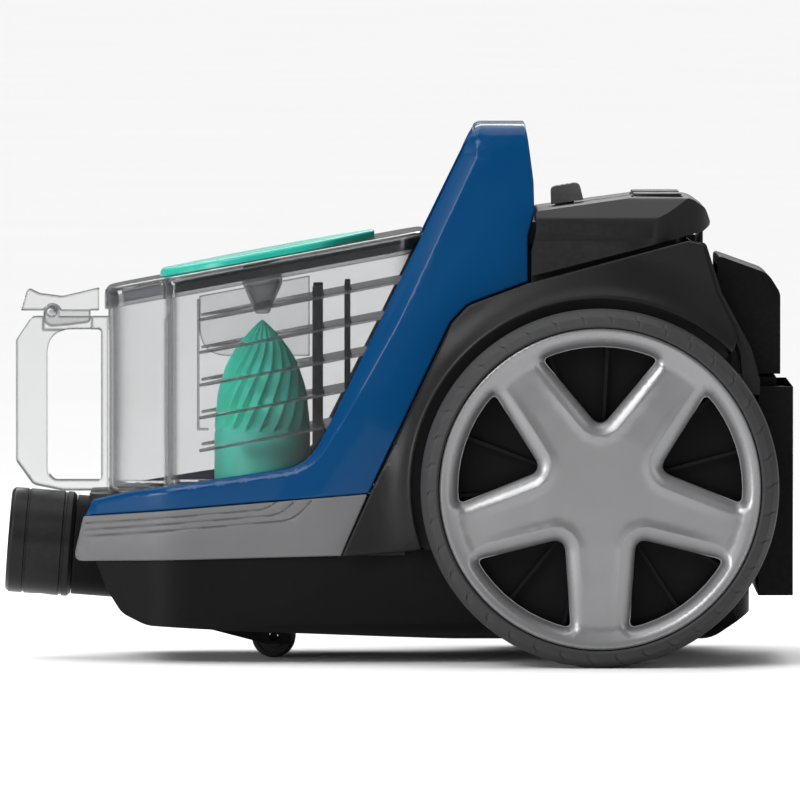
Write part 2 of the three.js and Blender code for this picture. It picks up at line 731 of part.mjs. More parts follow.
function buildCover() {
  const outer = common(
    slab(outline(coverSide()), -far, far),
    plate(outline(coverPlan()), 0, far),
    bar(outline(coverFront()), -far, far),
  );
  const inner = common(
    slab(outline(coverSide(wall)), -far, far),
    plate(outline(coverPlan(wall)), 0, far),
    bar(outline(coverFront(wall)), -far, far),
  );
  const tongueSide = [
    [partitionX, 217],
    [partitionX, 222.6],
    [finRearX + 4, tongueTop],
    [finRearX + 4, 217],
  ];
  const tongue = slab(outline(tongueSide), -tongueHalf, tongueHalf);
  const tongueUnder = inset(tongueSide, wall).map(([x, z], i) => [x, i === 0 || i === 3 ? 0 : z]);
  const tongueRoom = slab(outline(tongueUnder), -tongueHalf + wall, tongueHalf - wall);
  const footLine = [
    [finRearX, 0],
    [finRearX, coverFootFront],
    [coverX + 56.6, coverFootRear],
    [far, coverFootRear],
    [far, 0],
  ];
  const footCut = slab(outline(footLine), -far, far);
  const slot = box(sliderX - 3, sliderX + sliderLength + sliderTravel - 1, -4, 4, 200, far);
  const padSpace = (side, d, z0, z1) => {
    const grow = play + d;
    const corners = padCorners(buttonX, side * buttonY, buttonLong / 2 + grow, buttonWide / 2 + grow, 7);
    return plate(outline(corners), z0, z1);
  };
  const wells = [1, -1].map((side) => padSpace(side, 1.8, wellFloor - 1.8, coverTop - 3));
  const wellRooms = [1, -1].map((side) => padSpace(side, 0, wellFloor, far));
  const stemHoles = [1, -1].map((side) => rodZ(stemHalf + gap, 0, far, buttonX, side * buttonY, 16));
  const throat = centred(finRearX - 1, finRearX + 10, tongueHalf - wall, 0, tongueTop - wall - 1);
  const sidePast = centred(finRearX - 1, finRearX + 4 + wall, coverHalf - 2 * wall, 0, 216.5);
  const shell = cut(join(outer, tongue), inner, tongueRoom, throat, sidePast, footCut);
  addPiece("top_cover", cut(join(shell, ...wells), slot, ...wellRooms, ...stemHoles), charcoal);
}

function buildControls() {
  const tilt = new THREE.Group();
  tilt.position.set(sliderX, 0, slopeAt(sliderX));
  tilt.rotation.y = -coverSlope;
  vacuum.add(tilt);
  const thumb = slab(outline([[-1, 1], [0, 10, 3], [sliderLength, 10.4, 3], [sliderLength + 1, 1]]), -9, 9);
  const neck = box(1, sliderLength - 4, -3.2, 3.2, -6, 1.2);
  const foot = box(-2, sliderLength + 1, -8, 8, -8.4, -5.6);
  addPiece("power_slider", join(thumb, neck, foot), trimGrey, tilt);

  const names = ["rewind", "power"];
  const stemFoots = [brakeHeight + 3 + 0.6, stemFoot];
  [-1, 1].forEach((side, i) => {
    const y = side * buttonY;
    const padLoop = (d) => outline(padCorners(buttonX, y, buttonLong / 2 - d, buttonWide / 2 - d, 6 - d));
    const pad = plate(padLoop(0), coverTop - 9, buttonTop);
    const hollow = plate(padLoop(2), 0, buttonTop - 2.4);
    const stem = rodZ(stemHalf, stemFoots[i], buttonTop - 2, buttonX, y);
    addPiece(`${names[i]}_button`, join(cut(pad, hollow), stem), charcoal);
    const points = Array.from({ length: springTurns * 8 + 1 }, (_, k) => {
      const turn = (k / 8) * 2 * Math.PI;
      const rise = (k / (springTurns * 8)) * springRise;
      return new THREE.Vector3(springRadius * Math.cos(turn), springRadius * Math.sin(turn), rise);
    });
    const wire = new THREE.Shape().absarc(0, 0, springWire, 0, 2 * Math.PI);
    const coil = new THREE.ExtrudeGeometry(wire, {
      steps: springTurns * 8,
      curveSegments: 2,
      extrudePath: new THREE.CatmullRomCurve3(points),
    });
    addPiece(`${names[i]}_spring`, solid(coil), steel).position.set(buttonX, y, wellFloor + 0.8);
  });
}

// ---------------------------------------------------------------- cord reel, brake, switch and board
const reelX = coverX - 9;
const reelFoot = 142;
const reelRadius = 54;
const reelDepth = 40;
const reelCore = 34;
const reelTop = reelFoot + reelDepth;
const reelAxleRadius = 4;
const brakePivot = reelRadius + 6; // behind the reel's axle
const brakeHeight = reelTop + 9;
const brakeStub = 2;
const glandRadius = 8;
const glandY = -52;
const glandZ = 120;

function buildElectrics() {
  const reel = new THREE.Group();
  reel.position.set(reelX, 0, 0);
  vacuum.add(reel);
  const bracketFoot = reelFoot - 9;
  const bracketHalf = coreHalf - wall - gap;
  const earTop = brakeHeight + 4;
  const upright = (y) => box(brakePivot - 4, brakePivot + 4, y - 1.2, y + 1.2, bracketFoot, earTop);
  const bracket = join(
    box(-9, 9, -bracketHalf, bracketHalf, bracketFoot, bracketFoot + 2.4),
    box(-9, brakePivot + 4, -buttonY - 10, -buttonY + 10, bracketFoot, bracketFoot + 2.4),
    turnedZ(rodProfile(9, bracketFoot, bracketFoot + 5), 20),
    upright(-buttonY - 8),
    upright(-buttonY + 8),
  );
  const pivotBore = rodY(brakeStub + gap, -far, far, brakePivot, brakeHeight, 12);
  const axleBore = turnedZ(rodProfile(reelAxleRadius + gap, 0, far), 16);
  addPiece("reel_bracket", cut(bracket, pivotBore, axleBore), steel, reel);
  addPiece("reel_axle", turnedZ(rodProfile(reelAxleRadius, reelFoot - 6, reelTop + 5), 16), steel, reel);
  addPiece("cord_reel", turnedZ([
    [reelAxleRadius + gap, reelFoot],
    [reelRadius, reelFoot],
    [reelRadius, reelFoot + 2],
    [reelCore, reelFoot + 2],
    [reelCore, reelTop - 2],
    [reelRadius, reelTop - 2],
    [reelRadius, reelTop],
    [reelCore - 3, reelTop],
    [reelCore - 3, reelFoot + 3],
    [reelAxleRadius + gap, reelFoot + 3],
    [reelAxleRadius + gap, reelFoot],
  ], 20), reelPlastic, reel);

  const brake = new THREE.Group();
  brake.position.set(brakePivot, -buttonY, brakeHeight);
  reel.add(brake);
  const arm = slab(outline([[-22, -3, 2], [4, -3, 2], [4, 3, 2], [-22, 3, 2]]), -5, 5);
  const leg = box(-5, -1, -5, 5, -9, -2);
  const shoe = box(-13, -1, -5, 5, -15, -8);
  addPiece("reel_brake_arm", join(arm, leg, shoe, rodY(brakeStub, -10, 10)), reelPlastic, brake);

  const switchTop = stemFoot - buttonTravel - 0.6;
  const powerSwitch = join(
    box(buttonX - 10, buttonX + 10, buttonY - 7, buttonY + 7, switchTop - 18, switchTop - 2),
    box(buttonX - 3, buttonX + 3, buttonY - 3, buttonY + 3, switchTop - 3, switchTop),
  );
  addPiece("power_switch", powerSwitch, blackPlastic);
  const board = box(sliderX - 14, sliderX + sliderTravel + 12, -36, 36, 208, 209.8);
  const track = box(sliderX - 4, sliderX + sliderTravel + 8, -5, 5, 209.8, 214);
  const chips = join(
    box(sliderX - 8, sliderX + 6, 14, 28, 209.7, 216),
    box(sliderX + 16, sliderX + 30, -30, -16, 209.7, 214),
  );
  addPiece("control_board", join(board, track, chips), boardGreen);
  const gland = turnedX([
    [3.6, tailX - 10],
    [glandRadius, tailX - 10],
    [glandRadius, tailX + gap],
    [glandRadius + 3, tailX + gap],
    [glandRadius + 2, tailX + 4],
    [5, tailX + 5],
    [3.6, tailX + 4],
    [3.6, tailX - 10],
  ], 16);
  addPiece("cord_gland", gland, rubber).position.set(0, glandY, glandZ);
}

// ---------------------------------------------------------------- motor and its filter
const motorZ = 86;
const motorX = partitionX + 22;
const fanRadius = 50;
const fanDepth = 34;
const canRadius = 37;
const canLength = 76;
const shaftRadius = 3.5;
const vaneCount = 5;

function buildMotor() {
  const filterFront = partitionX + wall + gap;
  addPiece("motor_filter", box(filterFront, filterFront + 14, -42, 42, 104, 200), foam);

  const motor = new THREE.Group();
  motor.position.set(motorX, 0, motorZ);
  vacuum.add(motor);
  const fanEnd = fanDepth;
  const canEnd = fanDepth + canLength;
  addPiece("fan_cover", turnedX([
    [18, 0],
    [fanRadius - 5, 0],
    [fanRadius, 6],
    [fanRadius, fanEnd],
    [fanRadius - 1.6, fanEnd],
    [fanRadius - 1.6, 7],
    [fanRadius - 6, 1.8],
    [18, 1.8],
    [18, 0],
  ], 20), steel, motor);
  addPiece("motor_can", turnedX([
    [fanRadius - 2, fanEnd + gap],
    [fanRadius - 2, fanEnd + 3],
    [canRadius, fanEnd + 4],
    [canRadius, canEnd],
    [shaftRadius + 1, canEnd],
    [shaftRadius + 1, canEnd - 2],
    [canRadius - 2, canEnd - 2],
    [canRadius - 2, fanEnd + gap],
    [fanRadius - 2, fanEnd + gap],
  ], 20), plastic(0x1c1c1e, 0.5), motor);
  const statorRing = ringProfile(canRadius - 15, canRadius - 2.5, fanEnd + 8, fanEnd + 40);
  addPiece("stator", turnedX(statorRing, 16), steel, motor);
  const shaft = turnedX(rodProfile(shaftRadius, 5, canEnd + 4), 12);
  const stack = turnedX(rodProfile(canRadius - 16, fanEnd + 9, fanEnd + 39), 16);
  const brushRing = turnedX(rodProfile(11, fanEnd + 46, fanEnd + 60), 16);
  addPiece("armature", join(shaft, stack, brushRing), copper, motor);
  const vane = (i) => {
    const angle = (i / vaneCount) * 2 * Math.PI;
    const blade = new THREE.BoxGeometry(12, 1.4, 27).translate(0, 0, 30).rotateX(0.5);
    return solid(blade.translate(16, 0, 0).rotateX(angle));
  };
  const hub = turnedX(ringProfile(shaftRadius + gap, 9, 8, 24), 16);
  const back = turnedX(ringProfile(shaftRadius + gap, fanRadius - 5, 22, 23.6), 20);
  const cutBore = turnedX(rodProfile(shaftRadius + gap, -5, 40), 16);
  const vanes = Array.from({ length: vaneCount }, (_, i) => vane(i));
  const wheelSpace = turnedX(rodProfile(fanRadius - 5, 8, 23.6), 20);
  const trimmed = vanes.map((v) => common(v, wheelSpace));
  addPiece("fan_impeller", cut(join(hub, back, ...trimmed), cutBore), steel, motor);
  const sealRing = ringProfile(fanRadius - 18, fanRadius - 8, -4.6, -gap);
  addPiece("motor_front_seal", turnedX(sealRing, 20), rubber, motor);
}

// ---------------------------------------------------------------- exhaust cover and its filter
function buildExhaust() {
  const coverSideOutline = (d = 0) => [
    [exhaustFront - (d ? 10 : 0), exhaustFoot + d],
    [exhaustFront - (d ? 10 : 0), 211.5 - d],
    [rearX - 12.6 - d, 202 - d, 6],
    [rearX - 6.4 - d, 194 - d, 4],
    [rearX - 6.4 - d, exhaustFoot + d],
  ];
  const outer = slab(outline(coverSideOutline()), -exhaustHalf, exhaustHalf);
  const inner = slab(outline(coverSideOutline(wall)), -exhaustHalf + wall, exhaustHalf - wall);
  const slots = Array.from({ length: 6 }, (_, i) =>
    box(rearX - 20, rearX, -46, 46, exhaustFoot + 7 + i * 6.4, exhaustFoot + 10 + i * 6.4),
  );
  addPiece("exhaust_cover", cut(outer, inner, ...slots), blackPlastic);
  const frame = box(exhaustFront + 2, exhaustFront + 18, -54, 54, exhaustFoot + 4, 199);
  const opening = box(exhaustFront - 2, exhaustFront + 20, -50, 50, exhaustFoot + 8, 195);
  addPiece("exhaust_filter_frame", cut(frame, opening), blackPlastic);
  const pleats = 12;
  const z0 = exhaustFoot + 8 + gap;
  const step = (195 - gap - z0) / pleats;
  const left = Array.from({ length: 2 * pleats + 1 }, (_, i) => {
    const fold = i % 2 ? 6.5 : 3.5;
    return [exhaustFront + fold, z0 + (i * step) / 2];
  });
  const right = left.toReversed().map(([x, z]) => [x + 9, z]);
  addPiece("exhaust_filter", slab(outline([...left, ...right]), -50 + gap, 50 - gap), filterPaper);
}

// ---------------------------------------------------------------- rear bumper
const bumperFoot = 35.4;
const bumperTop = 143.8;
const bumperHalf = 70;

function buildBumper() {
  const outer = box(tailX + gap, rearX, -bumperHalf, bumperHalf, bumperFoot, bumperTop);
  const inner = centred(tailX - 5, rearX - wall, bumperHalf - wall, bumperFoot + wall, bumperTop - wall);
  const parkingWall = box(tailX + gap, rearX, -20, 20, bumperFoot, bumperTop);
  const parking = box(rearX - 13, rearX - 4, -15, 15, 60, far);
  const channel = box(rearX - 13, rearX + 5, -10, 10, 60, far);
  const glandRoom = rodX(glandRadius + 5, tailX - 5, far, glandY, glandZ, 24);
  const walled = join(cut(outer, inner), parkingWall);
  addPiece("rear_bumper", cut(walled, parking, channel, glandRoom), blackPlastic);
}

// ---------------------------------------------------------------- rear wheels
const rimRadius = wheelRadius - tyreDepth;
const clipRadius = 10;
const windowCount = 5;
const windowOuter = rimRadius - 10.4;
const windowInner = 0.442 * windowOuter;
const windowHalfAngle = 23.5;

// One window of the wheel cover, its middle pointing up: a rounded wedge between two spokes.
function windowOutline(angle) {
  const wedge = [
    [0, windowInner, 5],
    ...circlePoints(0, 0, windowOuter, 90 - windowHalfAngle, 90 + windowHalfAngle, 4).map(([a, b], i) => [
      a,
      b,
      i % 4 ? 0 : 5,
    ]),
  ];
  const turn = THREE.MathUtils.degToRad(angle);
  return outline(wedge).map((p) => p.rotateAround(new THREE.Vector2(), turn));
}

function buildWheels() {
  const outerY = -tyreWidth / 2;
  const wheels = new THREE.Group();
  vacuum.add(wheels);
  wheels.position.set(wheelX, 0, wheelZ);
  const midY = -(wheelOuterY - tyreWidth / 2);
  const at = (profile) => profile.map(([r, t]) => [r, midY + t]);
  const tyre = turnedY(at([
    [rimRadius + gap, outerY + 1],
    [rimRadius + 3, outerY],
    [wheelRadius - 4, outerY + 3],
    [wheelRadius, outerY + 11],
    [wheelRadius, -outerY - 8],
    [wheelRadius - 4, -outerY],
    [rimRadius + gap, -outerY],
    [rimRadius + gap, outerY + 1],
  ]), 36);
  addPair("tyre", tyre, rubber, wheels);
  const bore = axleRadius + gap;
  const hubFace = outerY + 6.2;
  const clipSeat = hubFace + 4;
  const body = turnedY(at([
    [bore, clipSeat],
    [clipRadius + play, clipSeat],
    [clipRadius + play, hubFace],
    [15, hubFace],
    [17, 2],
    [rimRadius - 3, 4],
    [rimRadius - 3, hubFace + 3],
    [rimRadius, hubFace + 3],
    [rimRadius, -outerY - 1],
    [rimRadius - 3, -outerY - 1],
    [rimRadius - 4, 7],
    [12, 5],
    [bore, -outerY - 1],
    [bore, clipSeat],
  ]), 24);
  addPair("wheel_body", body, blackPlastic, wheels);
  const dish = turnedY(at([
    [0, outerY + 2],
    [34, outerY + 2.6],
    [windowOuter, outerY + 5],
    [windowOuter + 5, outerY + 2.4],
    [rimRadius, outerY + 2],
    [rimRadius, outerY + 7.4],
    [windowOuter, outerY + 8.4],
    [0, outerY + 4.6],
  ]), 30);
  const windows = Array.from({ length: windowCount }, (_, i) =>
    slab(windowOutline((i * 360) / windowCount), -far, far),
  );
  addPair("wheel_cover", cut(dish, ...windows), silver, wheels);
  const axleEnd = -wheelOuterY + 8;
  addPair("wheel_axle", turnedY(rodProfile(axleRadius, axleEnd, -coreHalf + 16), 16), steel, wheels);
  const clip = turnedY(ringProfile(axleRadius + 0.3, clipRadius, axleEnd - 0.2, axleEnd + 1.4), 16);
  addPair("axle_clip", clip, steel, wheels);
}

// ---------------------------------------------------------------- dust bucket
const bucketCorners = (d = 0) =>
  inset(
    planOf([
      [bucketFront, lobeHalf, 26],
      [lobeX, lobeHalf, 4],
      [lobeX, bucketHalf, 12],
      [bucketRear, bucketHalf, 20],
    ]),
    d,
  );
const lidTopAt = (x) => lidFrontHeight + (x - bucketFront) * lidSlope;
const belowSlope = (drop) =>
  slab(
    outline([[-far, -far], [far, -far], [far, lidTopAt(far) - drop], [-far, lidTopAt(-far) - drop]]),
    -far,
    far,
  );
const coneX = bucketFront + 80;
const bladeRadius = 56;
const bladeInner = 33;
const bladeAngle = 126; // how far each blade reaches forward round the cone
const bladeTilt = 0.19;
const bladeThickness = 1.6;

function buildBucket() {
  const lidWall = 2.4;
  const rim = lidWall + gap;
  const outer = common(plate(outline(bucketCorners()), bucketFloor, far), belowSlope(rim));
  const inner = plate(outline(bucketCorners(bucketWall)), bucketFloor + bucketWall, far);
  const divider = common(
    box(lobeX - 1, lobeX + 1.4, -lobeHalf + 1, lobeHalf - 1, bucketFloor + 1, far),
    belowSlope(22),
  );
  const inletHole = rodZ(ductOuter + 4 + gap, 0, bucketFloor + 10, ductX, 0, 16);
  const outlet = box(bucketRear - 10, far, -30, 30, 118, 180);
  addPiece("dust_bucket", cut(join(cut(outer, inner), divider), inletHole, outlet), clearPlastic);

  const lidPlan = (d) => plate(outline(bucketCorners(d - 1.8)), 0, far);
  const lidOuter = common(cut(lidPlan(0), belowSlope(lidDepth)), belowSlope(0));
  const lidRoom = common(lidPlan(bucketWall - 0.7), belowSlope(lidWall));
  const lidBolt = slab(outline([[coneX - 12, 0], [coneX + 12, 0], [coneX + 5, -16, 5], [coneX - 5, -16, 5]]
    .map(([x, z, r]) => [x, z + lidTopAt(x) - 1, r])), -4, 4);
  const leverNotch = box(-far, bucketFront - gap, -14, 14, 0, far);
  addPiece("bucket_lid", cut(join(cut(lidOuter, lidRoom), lidBolt), leverNotch), smokePlastic);
  const panelCorners = planOf([
    [bucketFront + 27, 26, 20],
    [bucketFront + 60, 47, 40],
    [bucketRear - 50, 47, 30],
    [bucketRear - 24, 12, 10],
  ]);
  const panel = common(cut(plate(outline(panelCorners), 0, far), belowSlope(-0.3)), belowSlope(-4));
  addPiece("lid_panel", panel, teal);

  buildBucketHandle();
  buildCyclone();
}

function buildCyclone() {
  const base = bucketFloor + bucketWall + gap;
  const ogive = Array.from({ length: 6 }, (_, i) => {
    const t = i / 5;
    return [coneRadius * (1 - 0.12 * t - 0.88 * t * t * t) + 0.01, base + 28 + (coneHeight - 28) * t];
  });
  const tip = [[2.5, base + coneHeight - 1], [0, base + coneHeight]];
  const cone = turnedZ([[0, base], [coneRadius, base], ...ogive.slice(0, -1), ...tip], 16);
  const flutes = Array.from({ length: 8 }, (_, i) => {
    const wedge = new THREE.BoxGeometry(9, 2.6, 64).translate(coneRadius + 1.2, 0, 0).rotateX(0.35);
    wedge.translate(0, 0, base + 64).rotateZ((i / 8) * 2 * Math.PI);
    return solid(wedge);
  });
  addPiece("cyclone_cone", cut(cone, ...flutes), teal).position.set(coneX, 0, 0);

  // Sloping blades round the cone's sides and back, held by posts.
  const bladeLoop = outline([
    ...circlePoints(0, 0, bladeRadius, bladeAngle, 90, 2),
    [bucketRear - coneX, bladeRadius],
    [bucketRear - coneX, -bladeRadius],
    ...circlePoints(0, 0, bladeRadius, -90, -bladeAngle, 2),
    ...circlePoints(0, 0, bladeInner, -bladeAngle, bladeAngle, 8),
  ]);
  const blade = (i) => {
    const middle = lidTopAt(coneX) - 26 - i * bladePitch;
    return solid(prism(bladeLoop, bladeThickness).rotateY(-bladeTilt).translate(coneX, 0, middle));
  };
  const blades = Array.from({ length: bladeCount }, (_, i) => blade(i));
  const posts = [-1, 1].flatMap((side) => [
    rodZ(2.6, base, lidTopAt(coneX) - 14, coneX + 29, side * 38, 6),
    box(coneX + 43, coneX + 46, side * 28 - 3, side * 28 + 3, base, lidTopAt(coneX) - 12),
  ]);
  const inside = common(plate(outline(bucketCorners(bucketWall + gap)), base, far), belowSlope(13));
  addPiece("louvre_cage", common(join(posts[0], ...posts.slice(1), ...blades), inside), clearPlastic);
}

// The loop handle at the front of the bucket and the lever that rides on it.
const gripX = frontX + 6;
const handleHalfWidth = 12;
const leverPivotX = gripX + 18.6;
const leverPivotZ = 180.5;
const leverPinRadius = 1.8;

function buildBucketHandle() {
  const outer = [
    [gripX, bucketFloor + 15.6, 3],
    [gripX, 166, 4],
    [gripX + 8, 178, 4],
    [bucketFront - gap, 178],
    [bucketFront - gap, bucketFloor],
    [gripX + 24, bucketFloor, 3],
    [gripX + 9, bucketFloor + 3.1, 5],
  ];
  const window = [
    [gripX + 16.5, bucketFloor + 8.6, 6],
    [gripX + 16.5, 171.5, 13],
    [bucketFront - 4, 171.5, 2],
    [bucketFront - 4, bucketFloor + 5.2, 2],
    [gripX + 20, bucketFloor + 5.2, 4],
  ];
  const loop = cut(
    slab(outline(outer), -handleHalfWidth, handleHalfWidth),
    slab(outline(window), -far, far),
    box(gripX + 14, bucketFront - 9, -far, -handleHalfWidth + 4, 171, far),
    box(gripX + 14, bucketFront - 9, handleHalfWidth - 4, far, 171, far),
  );
  const lug = cut(
    rodY(4.2, -handleHalfWidth + 4, handleHalfWidth - 4, leverPivotX, leverPivotZ - 1, 16),
    box(-far, far, -far, far, leverPivotZ + 3.2, far),
  );
  const pinBore = rodY(leverPinRadius + gap, -far, far, leverPivotX, leverPivotZ, 14);
  addPiece("bucket_handle", cut(join(loop, lug), pinBore), clearPlastic);

  const top = [
    [gripX + 2.6, 181.4],
    [gripX + 6, 193, 2],
    [gripX + 12, 190, 4],
    [gripX + 24, 188.4, 8],
    [bucketFront - 5, 193, 1],
    [bucketFront - 5, 181.4],
  ];
  const thumbBar = slab(outline(top), -handleHalfWidth, handleHalfWidth);
  const cheekSide = [
    [leverPivotX - 5, 186],
    [leverPivotX + 5, 186],
    [leverPivotX + 4, leverPivotZ - 4.5, 3],
    [leverPivotX - 4, leverPivotZ - 4.5, 3],
  ];
  const cheeks = [-handleHalfWidth, handleHalfWidth - 3].map((y) => slab(outline(cheekSide), y, y + 3));
  const lugRoom = rodY(5.2, -handleHalfWidth + 3, handleHalfWidth - 3, leverPivotX, leverPivotZ - 1, 16);
  addPiece("release_lever", cut(join(thumbBar, ...cheeks), lugRoom, pinBore), clearPlastic);
  const pin = rodY(leverPinRadius, -handleHalfWidth, handleHalfWidth, leverPivotX, leverPivotZ, 14);
  addPiece("lever_pin", pin, steel);
}

buildInlet();
buildDuct();
buildTub();
buildCaster();
buildSeat();
buildHousing();
buildCasing();
buildSides();
buildCover();
buildControls();
buildElectrics();
buildMotor();
buildExhaust();
buildBumper();
buildWheels();
buildBucket();

export default vacuum;
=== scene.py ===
"""A bagless canister vacuum cleaner: the visual model over the CAD frame, and its studio.

Lengths in the shape code are millimetres in the row frame; meshes are made in metres.
The hose inlet points along -X, the rear bumper is at +X and the floor is z = 0.
"""

import json
import math

import bmesh
import bpy
import numpy as np
from mathutils import Matrix, Vector
from mathutils.geometry import delaunay_2d_cdt


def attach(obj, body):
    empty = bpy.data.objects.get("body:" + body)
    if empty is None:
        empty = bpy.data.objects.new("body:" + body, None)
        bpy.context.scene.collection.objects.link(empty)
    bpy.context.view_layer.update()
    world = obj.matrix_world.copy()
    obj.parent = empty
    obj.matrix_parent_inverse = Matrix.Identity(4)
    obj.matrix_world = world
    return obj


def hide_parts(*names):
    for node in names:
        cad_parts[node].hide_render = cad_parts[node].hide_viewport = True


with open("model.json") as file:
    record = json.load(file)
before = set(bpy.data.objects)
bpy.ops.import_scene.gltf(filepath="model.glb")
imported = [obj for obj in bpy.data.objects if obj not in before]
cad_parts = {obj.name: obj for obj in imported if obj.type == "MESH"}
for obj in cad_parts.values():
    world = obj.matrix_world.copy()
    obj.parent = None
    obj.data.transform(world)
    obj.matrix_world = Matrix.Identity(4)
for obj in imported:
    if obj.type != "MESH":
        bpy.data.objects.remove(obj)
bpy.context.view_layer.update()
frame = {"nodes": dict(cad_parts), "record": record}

MM = 0.001
FAR = 600
BODY_OF = {node: body for body, nodes in frame["record"]["behaviour"]["bodies"].items() for node in nodes}
SLOT_OF = {part["node"]: part["material_slot"] for part in frame["record"]["subparts"]}

# ------------------------------------------------------------------ sizes, as in the CAD
REAR_X = 205.0
WHEEL_X, WHEEL_Z, WHEEL_R = 104.5, 92.5, 92.5
WHEEL_MID_Y, TYRE_HALF = 108.5, 15.0
RIM_R = 82.8
COVER_X = 102.0
INLET_X, INLET_Z, INLET_TILT = -169.08, 59.0, math.radians(4.5)
NOSE_X = -168.08
PARTITION_X = 16.0
TAIL_X = 186.5
BODY_HALF = 88.0
CORE_HALF = 80.0
HANDLE_TOP = 279.5
LEAN_START = 120.0
HANDLE_HALF = 62.0
SKIN = 7.6
BUCKET_FRONT, BUCKET_REAR = -150.58, 12.0
BUCKET_FLOOR = 87.4
LOBE_X = -119.58
BUCKET_HALF, LOBE_HALF = 62.0, 45.0
LID_FRONT = 194.0
LID_SLOPE = 0.1853
CONE_X = -70.58
CASTER_X, SWIVEL_X = -64.58, -82.58
CASTER_AT, SWIVEL_AT = (CASTER_X, 0, 11.5), (SWIVEL_X, 0, 0)
WALL = 2.6  # moulded shells
TUB_INSET = 4  # the tub stands this far inside the body's outline
PAD_X, PAD_Y = 135.0, 33.0  # the two buttons
LEVER_X, LEVER_Z = -180.4, 180.5  # the release lever's pivot
CONE_R, CONE_HEIGHT, FLUTE_START = 25.0, 86.0, 28.4
EXHAUST_FOOT = 150
BUMPER_FRONT, BUMPER_FOOT = 186.9, 35.4
ARCH_R = 97.5
ARCH_HOLE = 84.5
BUMPER_TOP = 143.8


# ------------------------------------------------------------------ 2-D outlines
def outline(corners, steps=7):
    """A closed outline from corners [a, b, radius], each round corner a short curve."""
    points = []
    count = len(corners)
    for i, corner in enumerate(corners):
        here = Vector(corner[:2])
        radius = corner[2] if len(corner) > 2 else 0
        before = Vector(corners[i - 1][:2]) - here
        after = Vector(corners[(i + 1) % count][:2]) - here
        half = before.angle(after) / 2
        reach = min(radius / math.tan(half), before.length * 0.49, after.length * 0.49)
        if radius < 0.2 or reach < 0.05:
            points.append(here)
            continue
        start = here + before.normalized() * reach
        end = here + after.normalized() * reach
        for k in range(steps + 1):
            t = k / steps
            points.append(start * (1 - t) ** 2 + here * (2 * t * (1 - t)) + end * (t * t))
    return [(p.x, p.y) for p in points]


def winding(loop):
    """1 for a loop that runs anticlockwise, -1 for one that runs clockwise."""
    count = len(loop)
    return math.copysign(1, sum(
        loop[i][0] * loop[(i + 1) % count][1] - loop[i][1] * loop[(i + 1) % count][0] for i in range(count)))


def inset(corners, distance):
    """The same corners moved inwards, as a wall's inner face."""
    count = len(corners)
    side = winding(corners)

    def normal(p, q):
        return Vector((p[1] - q[1], q[0] - p[0])).normalized() * side

    moved = []
    for i, corner in enumerate(corners):
        n1 = normal(corners[i - 1], corner)
        n2 = normal(corner, corners[(i + 1) % count])
        step = (n1 + n2) / (1 + n1.dot(n2)) * distance
        radius = corner[2] if len(corner) > 2 else 0
        moved.append([corner[0] + step.x, corner[1] + step.y, max(radius - distance, 0)])
    return moved


def plan_of(half):
    """Corners of a plan outline, mirrored about y = 0, from its y > 0 half."""
    return [list(c) for c in half] + [[c[0], -c[1], *c[2:]] for c in reversed(half)]


def circle_points(cx, cz, radius, start, end, count):
    angles = [math.radians(start + (end - start) * i / count) for i in range(count + 1)]
    return [(cx + radius * math.cos(a), cz + radius * math.sin(a)) for a in angles]


def resample(loop, step):
    """The loop's points, with more added so that no two are further apart than step."""
    out = []
    for i, p in enumerate(loop):
        q = loop[(i + 1) % len(loop)]
        size = math.dist(p, q)
        parts = max(1, math.ceil(size / step))
        for k in range(parts):
            out.append((p[0] + (q[0] - p[0]) * k / parts, p[1] + (q[1] - p[1]) * k / parts))
    return [p for i, p in enumerate(out) if math.dist(p, out[i - 1]) > 0.02]


def edge_distance(points, loops):
    """How far each 2-D point is from the nearest edge of the loops."""
    points = np.asarray(points, float)
    best = np.full(len(points), 1e9)
    for loop in loops:
        a = np.array(loop, float)
        d = np.roll(a, -1, axis=0) - a
        size = np.maximum((d * d).sum(-1), 1e-12)
        for lo in range(0, len(points), 2000):
            ap = points[lo:lo + 2000, None, :] - a[None]
            t = np.clip((ap * d).sum(-1) / size, 0, 1)
            q = ap - t[..., None] * d
            best[lo:lo + 2000] = np.minimum(best[lo:lo + 2000], np.sqrt((q * q).sum(-1)).min(1))
    return best


def inside(points, loop):
    points = np.asarray(points, float)
    a = np.array(loop, float)
    b = np.roll(a, -1, axis=0)
    x, y = points[:, 0:1], points[:, 1:2]
    crosses = (a[:, 1] > y) != (b[:, 1] > y)
    rise = np.where(np.abs(b[:, 1] - a[:, 1]) < 1e-12, 1e-12, b[:, 1] - a[:, 1])
    at = a[:, 0] + (y - a[:, 1]) * (b[:, 0] - a[:, 0]) / rise
    return (crosses & (x < at)).sum(1) % 2 == 1


def inside_outline(points, loops):
    """Whether each point is in the first loop and in none of the holes."""
    keep = inside(points, loops[0])
    for hole in loops[1:]:
        keep &= ~inside(points, hole)
    return keep


def chosen(points, keep):
    return [p for p, k in zip(points, keep) if k]


# ------------------------------------------------------------------ meshes
def object_from(bm, name="shape"):
    mesh = bpy.data.meshes.new(name)
    bmesh.ops.recalc_face_normals(bm, faces=bm.faces[:])
    bm.to_mesh(mesh)
    bm.free()
    obj = bpy.data.objects.new(name, mesh)
    bpy.context.scene.collection.objects.link(obj)
    return obj


PLACE = {
    "x": lambda a, b, t: (t, a, b),
    "y": lambda a, b, t: (a, t, b),
    "z": lambda a, b, t: (a, b, t),
}


